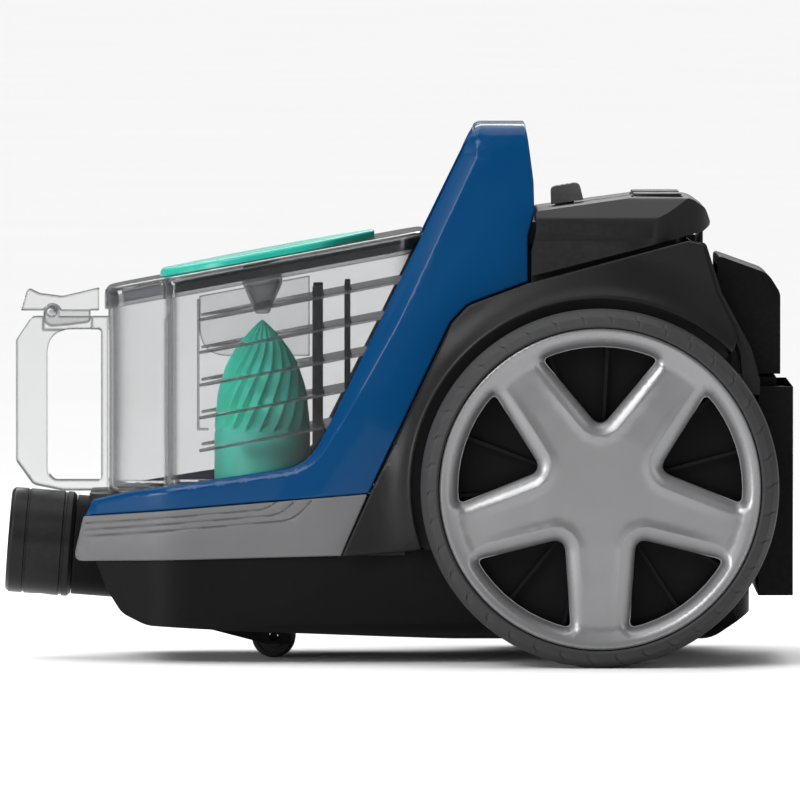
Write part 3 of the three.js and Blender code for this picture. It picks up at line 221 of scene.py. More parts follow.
def prism(points, lo, hi, axis):
    """An outline across an axis, run along it: XZ for y, XY for z, YZ for x."""
    bm = bmesh.new()
    place = PLACE[axis]
    ends = [[bm.verts.new(Vector(place(p[0], p[1], t)) * MM) for p in points] for t in (lo, hi)]
    bm.faces.new(ends[0])
    bm.faces.new(ends[1])
    for i in range(len(points)):
        bm.faces.new((ends[0][i - 1], ends[0][i], ends[1][i], ends[1][i - 1]))
    return object_from(bm)


def slab(corners, y0, y1, steps=7):
    return prism(outline(corners, steps), y0, y1, "y")


def plate(corners, z0, z1, steps=7):
    return prism(outline(corners, steps), z0, z1, "z")


def bar(corners, x0, x1, steps=7):
    return prism(outline(corners, steps), x0, x1, "x")


def box(x0, x1, y0, y1, z0, z1):
    return prism([(x0, z0), (x1, z0), (x1, z1), (x0, z1)], y0, y1, "y")


def round_box(x0, x1, y0, y1, z0, z1, radius):
    """A box whose upright corners are round."""
    corners = [[x0, y0, radius], [x1, y0, radius], [x1, y1, radius], [x0, y1, radius]]
    return plate(corners, z0, z1)


TURN = {
    "x": lambda r, t, c, s: (t, r * c, r * s),
    "y": lambda r, t, c, s: (r * c, t, r * s),
    "z": lambda r, t, c, s: (r * c, r * s, t),
}


def lathe(profile, sides, axis, centre=(0, 0, 0), steps=4):
    """A turned piece from a closed profile of [radius, distance along, corner radius]."""
    bm = bmesh.new()
    turn = TURN[axis]
    rings = []
    for r, t in outline(profile, steps):
        if r < 1e-6:
            rings.append([bm.verts.new((Vector(turn(0, t, 1, 0)) + Vector(centre)) * MM)])
            continue
        angles = [2 * math.pi * k / sides for k in range(sides)]
        rings.append(
            [bm.verts.new((Vector(turn(r, t, math.cos(a), math.sin(a))) + Vector(centre)) * MM)
              for a in angles]
        )
    for i, ring in enumerate(rings):
        last = rings[i - 1]
        if len(ring) == 1 and len(last) == 1:
            continue
        for k in range(sides):
            corners = [last[k % len(last)], last[(k + 1) % len(last)],
                       ring[(k + 1) % len(ring)], ring[k % len(ring)]]
            unique = list(dict.fromkeys(corners))
            bm.faces.new(unique)
    return object_from(bm)


def rod(radius, lo, hi, axis, centre=(0, 0, 0), sides=32, edge=0.0):
    return lathe([[0, lo], [radius, lo, edge], [radius, hi, edge], [0, hi]], sides, axis, centre)


def bake_modifiers(obj):
    graph = bpy.context.evaluated_depsgraph_get()
    made = bpy.data.meshes.new_from_object(obj.evaluated_get(graph))
    old = obj.data
    obj.modifiers.clear()
    obj.data = made
    bpy.data.meshes.remove(old)
    return obj


def combine(operation, first, *tools):
    for tool in tools:
        modifier = first.modifiers.new("combine", "BOOLEAN")
        modifier.operation = operation
        modifier.solver = "EXACT"
        modifier.object = tool
        bake_modifiers(first)
        bpy.data.objects.remove(tool)
    return first


def common(first, *tools):
    return combine("INTERSECT", first, *tools)


def cut(first, *tools):
    return combine("DIFFERENCE", first, *tools)


def join(first, *tools):
    return combine("UNION", first, *tools)


def merged(*objects):
    """Closed shapes that don't touch, in one mesh, as one cutting tool."""
    bm = bmesh.new()
    for obj in objects:
        bm.from_mesh(obj.data)
        bpy.data.objects.remove(obj)
    return object_from(bm)


def tidy(obj, merge=0.02):
    """Joins vertices that lie on each other and flattens needless ones."""
    bm = bmesh.new()
    bm.from_mesh(obj.data)
    bmesh.ops.remove_doubles(bm, verts=bm.verts[:], dist=merge * MM)
    bmesh.ops.dissolve_limit(bm, angle_limit=math.radians(0.4), verts=bm.verts[:], edges=bm.edges[:])
    bm.to_mesh(obj.data)
    bm.free()
    return obj


def rounded(obj, width, segments=3, angle=28):
    """Rounds the edges that are sharper than an angle."""
    tidy(obj)
    modifier = obj.modifiers.new("edges", "BEVEL")
    modifier.width = width * MM
    modifier.segments = segments
    modifier.limit_method = "ANGLE"
    modifier.angle_limit = math.radians(angle)
    modifier.harden_normals = False
    modifier.use_clamp_overlap = True
    return bake_modifiers(obj)


def mirrored(obj):
    """A copy on the other side of y = 0."""
    bm = bmesh.new()
    bm.from_mesh(obj.data)
    for v in bm.verts:
        v.co.y = -v.co.y
    bmesh.ops.reverse_faces(bm, faces=bm.faces[:])
    return object_from(bm)


def transformed(obj, matrix):
    obj.data.transform(matrix)
    return obj


def relief(loops, spacing, front, back, insets, lines=(), edge_step=3.0):
    """A closed plate over a 2-D outline with holes.

    front and back take (u, v, distance to the nearest edge) as arrays and give 3-D points in mm.
    insets are the distances from the edges, and lines the polylines, that get points of their own.
    """
    loops = [resample(loop, edge_step) for loop in loops]
    points = []
    edges = []
    for loop in loops:
        base = len(points)
        points.extend(loop)
        edges.extend((base + i, base + (i + 1) % len(loop)) for i in range(len(loop)))
    fixed = len(points)

    extra = []
    for depth in insets:
        for loop in loops:
            for i, p in enumerate(loop):
                before, after = loop[i - 1], loop[(i + 1) % len(loop)]
                tangent = Vector((after[0] - before[0], after[1] - before[1])).normalized()
                for side in (1, -1):
                    extra.append((p[0] - tangent.y * depth * side, p[1] + tangent.x * depth * side))
    wanted = np.repeat(insets, 2 * fixed)
    rings = chosen(extra, inside_outline(extra, loops) & (edge_distance(extra, loops) > wanted * 0.93))

    flat = np.array(loops[0])
    lo, hi = flat.min(0), flat.max(0)
    grid = []
    row = 0
    v = lo[1]
    while v < hi[1]:
        u = lo[0] + (spacing / 2 if row % 2 else 0)
        while u < hi[0]:
            grid.append((u, v))
            u += spacing
        v += spacing * 0.87
        row += 1
    clear = max(insets) + spacing * 0.45
    grid = chosen(grid, inside_outline(grid, loops) & (edge_distance(grid, loops) > clear))
    line_points = [p for line in lines for p in line]
    if line_points:
        keep = inside_outline(line_points, loops) & (edge_distance(line_points, loops) > 0.8)
        line_points = chosen(line_points, keep)
        grid = [g for g in grid if min(math.dist(g, q) for q in line_points[::2]) > spacing * 0.4]
    points = points[:fixed] + rings + line_points + grid

    verts, _, faces, *_ = delaunay_2d_cdt([Vector(p) for p in points], edges, [], 0, 1e-4)
    flat = np.array([tuple(v) for v in verts])
    centres = np.array([flat[list(f)].mean(0) for f in faces])
    faces = chosen(faces, inside_outline(centres, loops))
    away = edge_distance(flat, loops)
    tops = front(flat[:, 0], flat[:, 1], away)
    bottoms = back(flat[:, 0], flat[:, 1], away)

    bm = bmesh.new()
    upper = [bm.verts.new(Vector(p) * MM) for p in tops]
    lower = [bm.verts.new(Vector(p) * MM) for p in bottoms]
    used = dict.fromkeys((a, face[(i + 1) % len(face)]) for face in faces for i, a in enumerate(face))
    for face in faces:
        bm.faces.new([upper[i] for i in face])
        bm.faces.new([lower[i] for i in reversed(face)])
    for a, b in used:
        if (b, a) not in used:
            bm.faces.new((upper[b], upper[a], lower[a], lower[b]))
    bmesh.ops.delete(bm, geom=[v for v in bm.verts if not v.link_faces], context="VERTS")
    return object_from(bm)


ROUND = tuple(1 - math.cos(math.radians(18 * k)) for k in range(1, 6))


def round_rings(radius):
    return tuple(radius * k for k in ROUND)


def edge_drop(away, radius):
    """How far a surface lies below its crown, near a rounded edge."""
    d = np.clip(away, 0, radius)
    return radius - np.sqrt(np.maximum(radius * radius - (radius - d) ** 2, 0))


# ------------------------------------------------------------------ materials
class Graph:
    """A material's nodes, with short ways to add and wire them."""

    def __init__(self, name):
        self.material = bpy.data.materials.new(name)
        self.material.use_nodes = True
        self.tree = self.material.node_tree
        self.tree.nodes.clear()
        self.surface = self.tree.nodes.new("ShaderNodeOutputMaterial").inputs["Surface"]
        self.where = self.tree.nodes.new("ShaderNodeTexCoord").outputs["Object"]

    def wire(self, value, socket):
        """Links a socket, or sets it to a number, a vector or a colour."""
        if isinstance(value, bpy.types.NodeSocket):
            self.tree.links.new(value, socket)
        elif socket.type == "RGBA":
            socket.default_value = (*value, 1)
        else:
            socket.default_value = value

    def add(self, kind, inputs=(), output=0, **settings):
        node = self.tree.nodes.new("ShaderNode" + kind)
        for key, value in settings.items():
            setattr(node, key, value)
        for key, value in dict(inputs).items():
            self.wire(value, node.inputs[key])
        return node.outputs[output]

    def math(self, operation, a, b, clamp=False):
        return self.add("Math", {0: a, 1: b}, operation=operation, use_clamp=clamp)

    def noise(self, scale, detail=2.0, rough=0.5, vector=None):
        vector = self.where if vector is None else vector
        inputs = {"Scale": scale, "Detail": detail, "Roughness": rough, "Vector": vector}
        return self.add("TexNoise", inputs, "Fac")

    def ranged(self, value, lo, hi, to_lo, to_hi):
        inputs = {"Value": value, "From Min": lo, "From Max": hi, "To Min": to_lo, "To Max": to_hi}
        return self.add("MapRange", inputs)

    def stretched(self, scale):
        return self.add("Mapping", {"Vector": self.where, "Scale": scale})

    def blend(self, factor, a, b):
        return self.add("Mix", {"Factor": factor, 6: a, 7: b}, 2, data_type="RGBA")


def shade(colour, factor):
    return tuple(min(c * factor, 1) for c in colour)


def surface(name, colour, roughness, grain=2600, bump=0.25, depth=0.05, vary=0.06, tint=0.12, edge_wear_and_highlight=0.25,
            scratches=0.05, metallic=0.0, coat=0.0, coat_rough=0.05, specular=0.5, wave=0.0):
    """A moulded or machined surface: grain, cloudy gloss, fine scratches and paler edges, partly wear and
    partly painted highlight.
    """
    g = Graph(name)
    pale = shade(colour, 1 + tint)
    fine = g.noise(grain, 2.0, 0.6)
    cloud = g.noise(22, 3.0, 0.55)
    speck = g.noise(420)
    lines = g.noise(3.0, 3.0, 0.6, g.stretched((60, 900, 380)))
    scratch = g.ranged(lines, 0.62, 0.70, 0.0, scratches)
    # Pointiness picks out edges and ridges. Their paler colour is partly wear and partly a painted highlight.
    edge = g.ranged(g.add("NewGeometry", output="Pointiness"), 0.51, 0.56, 0.0, edge_wear_and_highlight)
    edge_wear_and_highlight_mask = g.math("MULTIPLY", edge, g.ranged(speck, 0.35, 0.65, 0.25, 1.0), True)
    base = g.blend(cloud, shade(colour, 1 - tint), pale)
    flecked = g.blend(g.ranged(fine, 0.3, 0.7, 0.0, 0.5), base, pale)
    cloudy = g.ranged(cloud, 0.3, 0.7, roughness - vary, roughness + vary)
    grained = g.math("ADD", cloudy, g.ranged(fine, 0.3, 0.7, -vary / 2, vary / 2))
    height = g.math("ADD", fine, g.math("MULTIPLY", speck, 0.5))
    normal = g.add("Bump", {"Strength": bump, "Distance": depth * MM, "Height": height})
    if wave:
        swell = {"Strength": 1.0, "Distance": wave * MM, "Height": g.noise(60), "Normal": normal}
        normal = g.add("Bump", swell)
    g.wire(g.add("BsdfPrincipled", {
        # the paler colour at edges: wear and painted highlight
        "Base Color": g.blend(edge_wear_and_highlight_mask, flecked, tuple(min(c * 1.8 + 0.03, 1) for c in colour)),
        "Roughness": g.math("ADD", grained, scratch, True),
        "Normal": normal,
        "Metallic": metallic,
        "Coat Weight": coat,
        "Coat Roughness": coat_rough,
        "Specular IOR Level": specular,
    }), g.surface)
    return g.material


def see_through(name, tint, body, density, edge_density, roughness, spread):
    """A clear moulding: a tinted window that turns dark and glossy at a glancing angle, and at its edges by
    painted shade.
    """
    g = Graph(name)
    cloud = g.noise(30, 3.0, 0.55)
    lines = g.noise(3.0, 3.0, 0.6, g.stretched((90, 700, 300)))
    facing = g.add("LayerWeight", {"Blend": 0.5}, "Facing")
    density_and_edge_shade = g.ranged(g.math("POWER", facing, spread), 0.0, 1.0, density, edge_density)
    # Painted shade: the window turns dark and opaque along moulded edges, where the Bevel node's rounded
    # normal turns away from the true normal.
    round_edge = g.add("Bevel", {"Radius": 1.7 * MM}, samples=4)
    turn = g.add("VectorMath", {0: round_edge, 1: g.add("NewGeometry", output="Normal")}, "Value",
                 operation="DOT_PRODUCT")
    density_and_edge_shade = g.math("ADD", density_and_edge_shade, g.ranged(turn, 0.80, 0.995, 0.88, 0.0), True)
    haze_density_and_edge_shade = g.math("ADD", density_and_edge_shade, g.ranged(cloud, 0.3, 0.7, -0.012, 0.02), True)
    rough = g.ranged(cloud, 0.3, 0.7, roughness * 0.8, roughness * 1.3)
    gloss = g.add("BsdfPrincipled", {
        "Base Color": g.blend(cloud, shade(body, 0.94), shade(body, 1.06)),
        "Roughness": g.math("ADD", rough, g.ranged(lines, 0.63, 0.70, 0.0, 0.12), True),
        "Normal": g.add("Bump", {"Strength": 0.6, "Distance": 0.12 * MM, "Height": g.noise(45, 1.0, 0.4)}),
        "IOR": 1.9,
        "Coat Weight": 1.0,
        "Coat Roughness": 0.03,
    })
    window = g.add("BsdfTransparent", {"Color": tint})
    g.wire(g.add("MixShader", {0: haze_density_and_edge_shade, 1: window, 2: gloss}), g.surface)
    return g.material


LOOK = {
    "black_plastic": surface("black_plastic", (0.0032, 0.0032, 0.0034), 0.42, specular=0.07, edge_wear_and_highlight=0.08),
    "charcoal_plastic": surface("charcoal_plastic", (0.0085, 0.0085, 0.0088), 0.37, specular=0.15,
        edge_wear_and_highlight=0.12),
    "blue_plastic": surface("blue_plastic", (0.0, 0.036, 0.112), 0.22, grain=5200, bump=0.04, depth=0.02,
        vary=0.03, tint=0.07, edge_wear_and_highlight=0.35, scratches=0.04, coat=0.07, coat_rough=0.05, specular=0.12,
        wave=0.012),
    "grey_plastic": surface("grey_plastic", (0.105, 0.105, 0.108), 0.42, specular=0.25, edge_wear_and_highlight=0.2),
    "silver_plastic": surface("silver_plastic", (0.225, 0.225, 0.23), 0.36, grain=4200, bump=0.12,
        depth=0.03, vary=0.05, tint=0.06, edge_wear_and_highlight=0.1, metallic=0.72, coat=0.1, coat_rough=0.2),
    "tyre": surface("tyre", (0.03, 0.03, 0.031), 0.62, grain=1500, bump=0.5, depth=0.12, specular=0.2,
        edge_wear_and_highlight=0.3),
    "rubber": surface("rubber", (0.018, 0.018, 0.019), 0.7, grain=1500, bump=0.5, depth=0.12,
        specular=0.3),
    "clear_plastic": see_through("clear_plastic", (0.955, 0.958, 0.96), (0.1, 0.103, 0.106), 0.07, 0.97,
        0.06, 1.2),
    "smoke_clear_plastic": see_through("smoke_clear_plastic", (0.76, 0.77, 0.78), (0.04, 0.042, 0.044),
        0.14, 0.97, 0.08, 1.5),
    # The teal is set brighter than the plastic's own colour: painted light for the cone in the bucket's
    # shade. The darker teal copy below is painted shade against the sun on the lid panel.
    "teal_plastic": surface("teal_plastic", (0.1, 0.92, 0.7), 0.42, grain=3600, bump=0.15, depth=0.03,
        tint=0.06, edge_wear_and_highlight=0.3),
    "teal_painted_shade_copy": surface("teal_painted_shade_copy", (0.012, 0.36, 0.28), 0.3, grain=3600, bump=0.1, depth=0.03,
        tint=0.06, edge_wear_and_highlight=0.2, specular=0.3),
    "filter_foam": surface("filter_foam", (0.035, 0.038, 0.042), 0.95, grain=900, bump=1.0, depth=0.7,
        specular=0.2),
    "filter_paper": surface("filter_paper", (0.7, 0.68, 0.62), 0.9, grain=1800, bump=0.6, depth=0.15,
        tint=0.05, edge_wear_and_highlight=0.0, specular=0.2),
    "steel": surface("steel", (0.42, 0.42, 0.43), 0.3, grain=3000, bump=0.2, depth=0.03, metallic=1.0,
        tint=0.08),
    "copper": surface("copper", (0.5, 0.2, 0.08), 0.34, grain=1400, bump=0.6, depth=0.1, metallic=1.0),
    "circuit_board": surface("circuit_board", (0.012, 0.09, 0.04), 0.5, grain=800, bump=0.4, depth=0.08,
        tint=0.3),
    "pale_plastic": surface("pale_plastic", (0.62, 0.61, 0.57), 0.5, tint=0.05),
}


# ------------------------------------------------------------------ putting a piece in the model
def piece(node, obj, slot=None, look=None, smooth=34, name=None):
    """The finished mesh takes its node's name and body, its slot's material and the node's place."""
    slot = slot or SLOT_OF[node]
    obj.name = name or f"vis_{node}"
    obj.data.name = obj.name
    mesh = obj.data
    mesh.materials.clear()
    mesh.materials.append(LOOK[look or slot])
    mesh.shade_smooth()
    mesh.set_sharp_from_angle(angle=math.radians(smooth))
    weighted = obj.modifiers.new("normals", "WEIGHTED_NORMAL")
    weighted.keep_sharp = True
    bake_modifiers(obj)
    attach(obj, BODY_OF[node])
    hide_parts(node)
    return obj


def pair(node, obj, **options):
    """The left piece and its mirror image on the right."""
    other = mirrored(obj)
    piece(f"left_{node}", obj, **options)
    piece(f"right_{node}", other, **options)


def carried(node):
    """A CAD node that is shown as it is, in its own procedural material."""
    mesh = frame["nodes"][node].data
    mesh.materials.clear()
    mesh.materials.append(LOOK[SLOT_OF[node]])


# ------------------------------------------------------------------ outlines that pieces share
BODY_PLAN_HALF = [
    [NOSE_X, 44, 16],
    [NOSE_X + 48, 74, 60],
    [10, BODY_HALF, 60],
    [TAIL_X, BODY_HALF, 30],
]


def body_plan(distance=0.0):
    return inset(plan_of(BODY_PLAN_HALF), distance)


PLAN_LINE = sorted(p for p in outline(plan_of(BODY_PLAN_HALF), 16) if p[1] > 20)


def plan_y(x):
    """Half width of the body at each x."""
    xs = [p[0] for p in PLAN_LINE]
    ys = [p[1] for p in PLAN_LINE]
    return np.interp(x, xs, ys)


def front_of(half):
    """Corners of a front outline, mirrored from its y > 0 half."""
    return half + [[-y, *rest] for y, *rest in reversed(half)]


def body_front(distance=0.0, top=HANDLE_TOP):
    lean = (BODY_HALF - HANDLE_HALF) / (HANDLE_TOP - LEAN_START)
    top_half = HANDLE_HALF + (HANDLE_TOP - top) * lean
    side = BODY_HALF - distance
    return front_of([[side, 0], [side, LEAN_START], [top_half - distance, top, 16]])


def lid_top(x):
    return LID_FRONT + (x - BUCKET_FRONT) * LID_SLOPE


def tilt_inlet(obj):
    turn = Matrix.Rotation(INLET_TILT, 4, "Y")
    move = Matrix.Translation(Vector((INLET_X, 0, INLET_Z)) * MM)
    return transformed(obj, move @ turn)


def inlet_room():
    return tilt_inlet(rod(26.4, -5, 30.4, "x", sides=64))


# ------------------------------------------------------------------ inlet
def build_inlet():
    collar = lathe([
        [20, -33, 0.4], [21.4, -34, 0.3], [25.8, -34, 1.2], [27.4, -32.2, 1.2],
        [27.4, -25.6], [26.9, -25.2], [26.9, -24.4], [27.4, -24],
        [27.4, -6.4], [26.7, -6], [26.7, -4.9], [27.4, -4.5],
        [27.4, -1.8, 0.8], [25.8, 0, 0.4], [22.8, 0], [22.8, -12], [20, -12],
    ], 96, "x")
    latch = rod(5, -30, -24, "z", (-15, 0, 0), 32)
    collar = cut(collar, latch)
    piece("hose_collar", tilt_inlet(collar), look="charcoal_plastic")
    neck = lathe([
        [18.5, -11.5], [22.4, -11.5], [22.4, 0.4], [26, 0.4, 0.5], [26, 30, 0.5], [18.5, 30],
    ], 72, "x")
    piece("inlet_neck", tilt_inlet(neck))


# ------------------------------------------------------------------ bottom tub and caster
def tub_side(d=0.0):
    return [
        [NOSE_X + 9 + d, 60 + (WALL if d else 0)],
        [NOSE_X + 12 + d, 51, 10],
        [NOSE_X + 17.2 + d, 37.5 + d, 12],
        [NOSE_X + 25 + d, 25.5 + d, 12],
        [NOSE_X + 38 + d, 19.4 + d, 18],
        [NOSE_X + 86, 17 + d, 60],
        [COVER_X - 70, 12.5 + d],
        [COVER_X + 60, 12.5 + d, 20],
        [TAIL_X - d, 30 + d, 6],
        [TAIL_X - d, 60 + (WALL if d else 0)],
    ]


def tub_front(d=0.0):
    return front_of([[BODY_HALF - d, 80], [BODY_HALF - d, 44], [BODY_HALF - 9 - d, 8.5 + d, 26]])


def build_tub():
    outer = common(
        slab(tub_side(), -FAR, FAR, 10),
        plate(body_plan(TUB_INSET), 0, 60, 12),
        bar(tub_front(TUB_INSET), -FAR, FAR, 10),
    )
    inner = common(
        slab(tub_side(WALL), -FAR, FAR, 6),
        plate(body_plan(TUB_INSET + WALL), 0, 70, 8),
        bar(tub_front(TUB_INSET + WALL), -FAR, FAR, 6),
    )
    tub = cut(outer, inner)
    roof = common(rod(34.4, 10, 30, "z", SWIVEL_AT, 72), common(
        slab(tub_side(0.2), -FAR, FAR, 10), plate(body_plan(TUB_INSET + 0.2), 0, 60, 12)))
    tub = join(tub, roof, rod(9.4, 27.4, 42.4, "z", SWIVEL_AT, 32))
    well = rod(31.8, -20, 27.4, "z", SWIVEL_AT, 72)
    tub = cut(tub, well, rod(6.8, 20, 60, "z", SWIVEL_AT, 32), inlet_room())
    slots = [
        round_box(58 + 11 * i, 62 + 11 * i, -26, 26, 4, 22, 1.9) for i in range(7)
    ]
    tub = cut(tub, merged(*slots))
    screws = [(PARTITION_X + 8, 0), (TAIL_X - 22, 0)]
    tub = cut(tub, merged(*[rod(4.8, 0, 22, "z", (x, y, 0), 32) for x, y in screws]))
    piece("bottom_tub", rounded(tub, 1.4, 3, 35))


def build_caster():
    side = [
        [SWIVEL_X - 31, 23.4], [SWIVEL_X - 30, 19, 2], [CASTER_X - 4, 7.6, 8], [CASTER_X + 10, 7.6, 5],
        [SWIVEL_X + 31, 15, 4], [SWIVEL_X + 31, 23.4],
    ]
    skirt = common(
        slab(side, -16, 16, 10),
        rod(30.9, 0, 26.6, "z", SWIVEL_AT, 72),
    )
    disc = rod(31, 21.4, 26.6, "z", SWIVEL_AT, 72, 1.0)
    stem = rod(6, 23, 43, "z", SWIVEL_AT, 32)
    clip = rod(8.4, 43, 45.4, "z", SWIVEL_AT, 32)
    swivel = join(skirt, disc, stem, clip)
    room = common(rod(12.9, -10.8, 10.8, "y", CASTER_AT, 48), box(-FAR, FAR, -30, 30, -20, 25))
    mouth = box(CASTER_X - 12.9, CASTER_X + 12.9, -10.8, 10.8, -20, 11.5)
    swivel = cut(swivel, room, mouth, rod(2.4, -20, 20, "y", CASTER_AT, 24))
    piece("caster_swivel", rounded(swivel, 0.9, 3, 35))
    roller = lathe([
        [2.4, -10], [5.4, -10, 0.4], [6.2, -9.2], [8.6, -9.2], [9.5, -10, 0.4], [11.5, -7.6, 1.2],
        [11.5, -1.2, 0.3], [11, -0.8], [11, 0.8], [11.5, 1.2, 0.3],
        [11.5, 7.6, 1.2], [9.5, 10, 0.4], [8.6, 9.2], [6.2, 9.2], [5.4, 10, 0.4], [2.4, 10],
    ], 64, "y", CASTER_AT)
    piece("caster_roller", roller)
    piece("caster_pin", rod(2, -14, 14, "y", CASTER_AT, 24, 0.4), look="black_plastic")


# ------------------------------------------------------------------ blue casing
BLUE_FRONT = [[-162.08, 75.8], [-158.08, 84.2, 3], [-139.08, 89], [-46, 103, 26], [33.5, 265.6, 10]]
BLUE_REAR = [[70.6, 250, 14], [71, 234, 10], [67.8, 222, 8], [67.8, 198.4, 1], [36.4, 186.7, 14],
             [27.5, 177.3, 10], [-14.6, 89, 1]]


def section_line():
    """The casing's cross-section as (length along, y, z, outward y, outward z), from the left foot."""
    half = [p for p in outline(body_front(), 14) if p[0] <= 0.001]
    half.sort(key=lambda p: (p[1], p[0]))
    left = [(-BODY_HALF, 0.0), (-BODY_HALF, LEAN_START)]
    left += [p for p in half if p[1] > LEAN_START + 1]
    top = [p for p in left if p[1] >= HANDLE_TOP - 0.01]
    left = [p for p in left if p[1] < HANDLE_TOP - 0.01] + sorted(top)
    left.append((0.0, HANDLE_TOP))
    fine = []
    for p, q in zip(left, left[1:]):
        parts = max(1, int(math.dist(p, q) / 4))
        fine += [(p[0] + (q[0] - p[0]) * k / parts, p[1] + (q[1] - p[1]) * k / parts) for k in range(parts)]
    fine.append(left[-1])
    line = fine + [(-y, z) for y, z in reversed(fine[:-1])]
    length = [0.0]
    for p, q in zip(line, line[1:]):
        length.append(length[-1] + math.dist(p, q))
    ys = np.array([p[0] for p in line])
    zs = np.array([p[1] for p in line])
    s = np.array(length)
    ty, tz = np.gradient(ys, s), np.gradient(zs, s)
    size = np.hypot(ty, tz)
    return s, ys, zs, -tz / size, ty / size


def build_casing():
    s, ys, zs, ny, nz = section_line()
    middle = s[-1] / 2
    side_s = s[s <= middle + 1e-6]
    side_z = zs[s <= middle + 1e-6]

    def along(z):
        return float(np.interp(z, side_z, side_s))

    top_front, top_rear = 39.5, 66.5
    top_s = along(HANDLE_TOP - 1.2)
    front = [[x, along(z), *r] for x, z, *r in BLUE_FRONT] + [[top_front, top_s, 20]]
    rear = [[top_rear, top_s, 20]] + [[x, along(z), *r] for x, z, *r in BLUE_REAR]

    def other(corners):
        return [[x, 2 * middle - v, *r] for x, v, *r in reversed(corners)]

    loop = outline(front + other(front) + other(rear) + rear, 8)
    crease_a, crease_b = Vector((-40, 89)), Vector((20, 184))
    crease_dir = (crease_b - crease_a).normalized()
    front_line = [(x, v) for x, v in outline(front + other(front), 10)]
    front_line = resample(front_line, 3.0)
    front_line = front_line[:max(i for i, p in enumerate(front_line) if p[0] > -161)]
    front_track = front_line + front_line[-2:0:-1]

    def chamfer_width(v):
        z = np.interp(v, s, zs)
        return np.interp(z, [75, 92, 104, 130, 180, 265, 279], [2.2, 2.6, 3.6, 6.5, 9.5, 8.5, 3.0])

    def surface_point(u, v, depth):
        y = np.interp(v, s, ys)
        z = np.interp(v, s, zs)
        out_y, out_z = np.interp(v, s, ny), np.interp(v, s, nz)
        plan = plan_y(u)
        narrow = np.abs(y) - plan
        k = 2.0
        pull = np.where(narrow > k, narrow, np.where(narrow < -k, 0, (narrow + k) ** 2 / (4 * k)))
        y = y - np.sign(y) * pull * (z < 262)
        off = (u - crease_a.x) * -crease_dir.y + (z - crease_a.y) * crease_dir.x
        fade = np.clip((270 - z) / 60, 0, 1)
        facet = np.clip(off, 0, 18) * 0.085 * fade
        depth = depth + facet
        return np.stack([u, y - out_y * depth, z - out_z * depth], -1)

    edge = 1.2

    def outside(u, v, away):
        from_front = edge_distance(np.stack([u, v], -1), [front_track])
        chamfer = 0.52 * np.maximum(chamfer_width(v) - from_front, 0)
        return surface_point(u, v, edge_drop(away, edge) + chamfer)

    def within(u, v, away):
        step = np.clip((away - 4) / 0.6, 0, 1)
        from_front = edge_distance(np.stack([u, v], -1), [front_track])
        return surface_point(u, v, SKIN - (SKIN - 3.4) * step * (from_front > 12))

    crease = [tuple(crease_a + crease_dir * t) for t in range(0, 190, 3)]
    crease = [(u, along(z)) for u, z in crease]
    lines = [crease, [(u, 2 * middle - v) for u, v in crease]]
    for shift in (-0.45, 0.45):
        ridge = []
        for k in range(1, len(front_line) - 1):
            p, before, after = front_line[k], front_line[k - 1], front_line[k + 1]
            t = Vector((after[0] - before[0], after[1] - before[1])).normalized()
            w = float(chamfer_width(p[1])) + shift
            ridge.append((p[0] + t.y * w, p[1] - t.x * w))
        lines.append(ridge)
    casing = relief([loop], 5.0, outside, within, (*round_rings(edge), 4.0, 4.6), lines, 2.5)
    casing = cut(casing, inlet_room())
    piece("upper_casing", casing, smooth=30)

    liner_outline = [[x, z, *r] for x, z, *r in inset(
        [[-46, 103, 26], [36.4, 271.5, 10], [42.4, 279.5, 4], [64.9, 279.5, 7], [71, 234, 10], [67.8, 222, 8],
         [67.8, 198.4], [36.4, 186.7, 14], [27.5, 177.3, 10], [-14.6, 89]], 4.4)]
    liner = common(
        slab(liner_outline, -FAR, FAR),
        bar(body_front(3.8, HANDLE_TOP - 3.4), -FAR, FAR),
        box(-FAR, FAR, -FAR, FAR, 262, 264.6),
    )
    piece("handle_liner", rounded(liner, 0.5, 2))


# ------------------------------------------------------------------ side trims and wheel arches
def build_trims():
    top_front, top_rear = Vector((-163.1, 75.4)), Vector((-15, 88.6))
    foot_rear, foot_front = Vector((-29, 56.5)), Vector((-168.7, 52))
    loop = outline([[*top_front, 1.5], [*top_rear, 1], [*foot_rear, 1], [*foot_front, 4]], 4)
    slope = (top_rear.y - top_front.y) / (top_rear.x - top_front.x)
    ribs = [3.6, 7.0, 10.4]
    turn_x = [-72, -66, -60]

    def rib_drop(u, v):
        """Three shallow steps under the top edge, which turn up to it at their rear ends."""
        below = top_front.y + slope * (u - top_front.x) - v
        drop = np.zeros_like(u)
        for rib, end in zip(ribs, turn_x):
            past = np.maximum(u - end, 0)
            curve = rib - past * past / 26
            gap = below - curve
            mask = np.where(u < end + math.sqrt(26 * rib), 1.0, 0.0)
            drop += mask * 0.85 * np.exp(-((gap / 0.55) ** 2))
            drop += mask * 0.3 * (gap > 0)
        return drop

    def at(u, v, depth):
        return np.stack([u, -(plan_y(u) - depth), v], -1)

    def outside(u, v, away):
        lower = np.clip((60 - v) / 8, 0, 1) ** 2 * 1.2
        return at(u, v, edge_drop(away, 0.9) + rib_drop(u, v) + lower)

    def within(u, v, away):
        return at(u, v, 3.4 + 0 * u)

    lines = []
    for rib, end in zip(ribs, turn_x):
        for shift in (-1.1, -0.55, 0.0, 0.55, 1.1):
            line = []
            u = -162.0
            while u < end + math.sqrt(26 * rib):
                past = max(u - end, 0)
                below = rib - past * past / 26 + shift
                line.append((u, top_front.y + slope * (u - top_front.x) - below))
                u += 2.2 if u < end else 1.0
            lines.append(line)
    trim = relief([loop], 4.0, outside, within, round_rings(0.9), lines, 2.0)
    trim = cut(trim, inlet_room())
    pair("side_trim", trim, smooth=50)


ARCH_PANEL = [
    [-28.6, 56.5], [-14.2, 88.6, 2], [28, 177, 3], [36.6, 186.2, 14], [67.8, 197.8, 2], [150, 219.6, 3],
    [158, 218, 3], [165, 193, 20], [180, 164, 20],
]


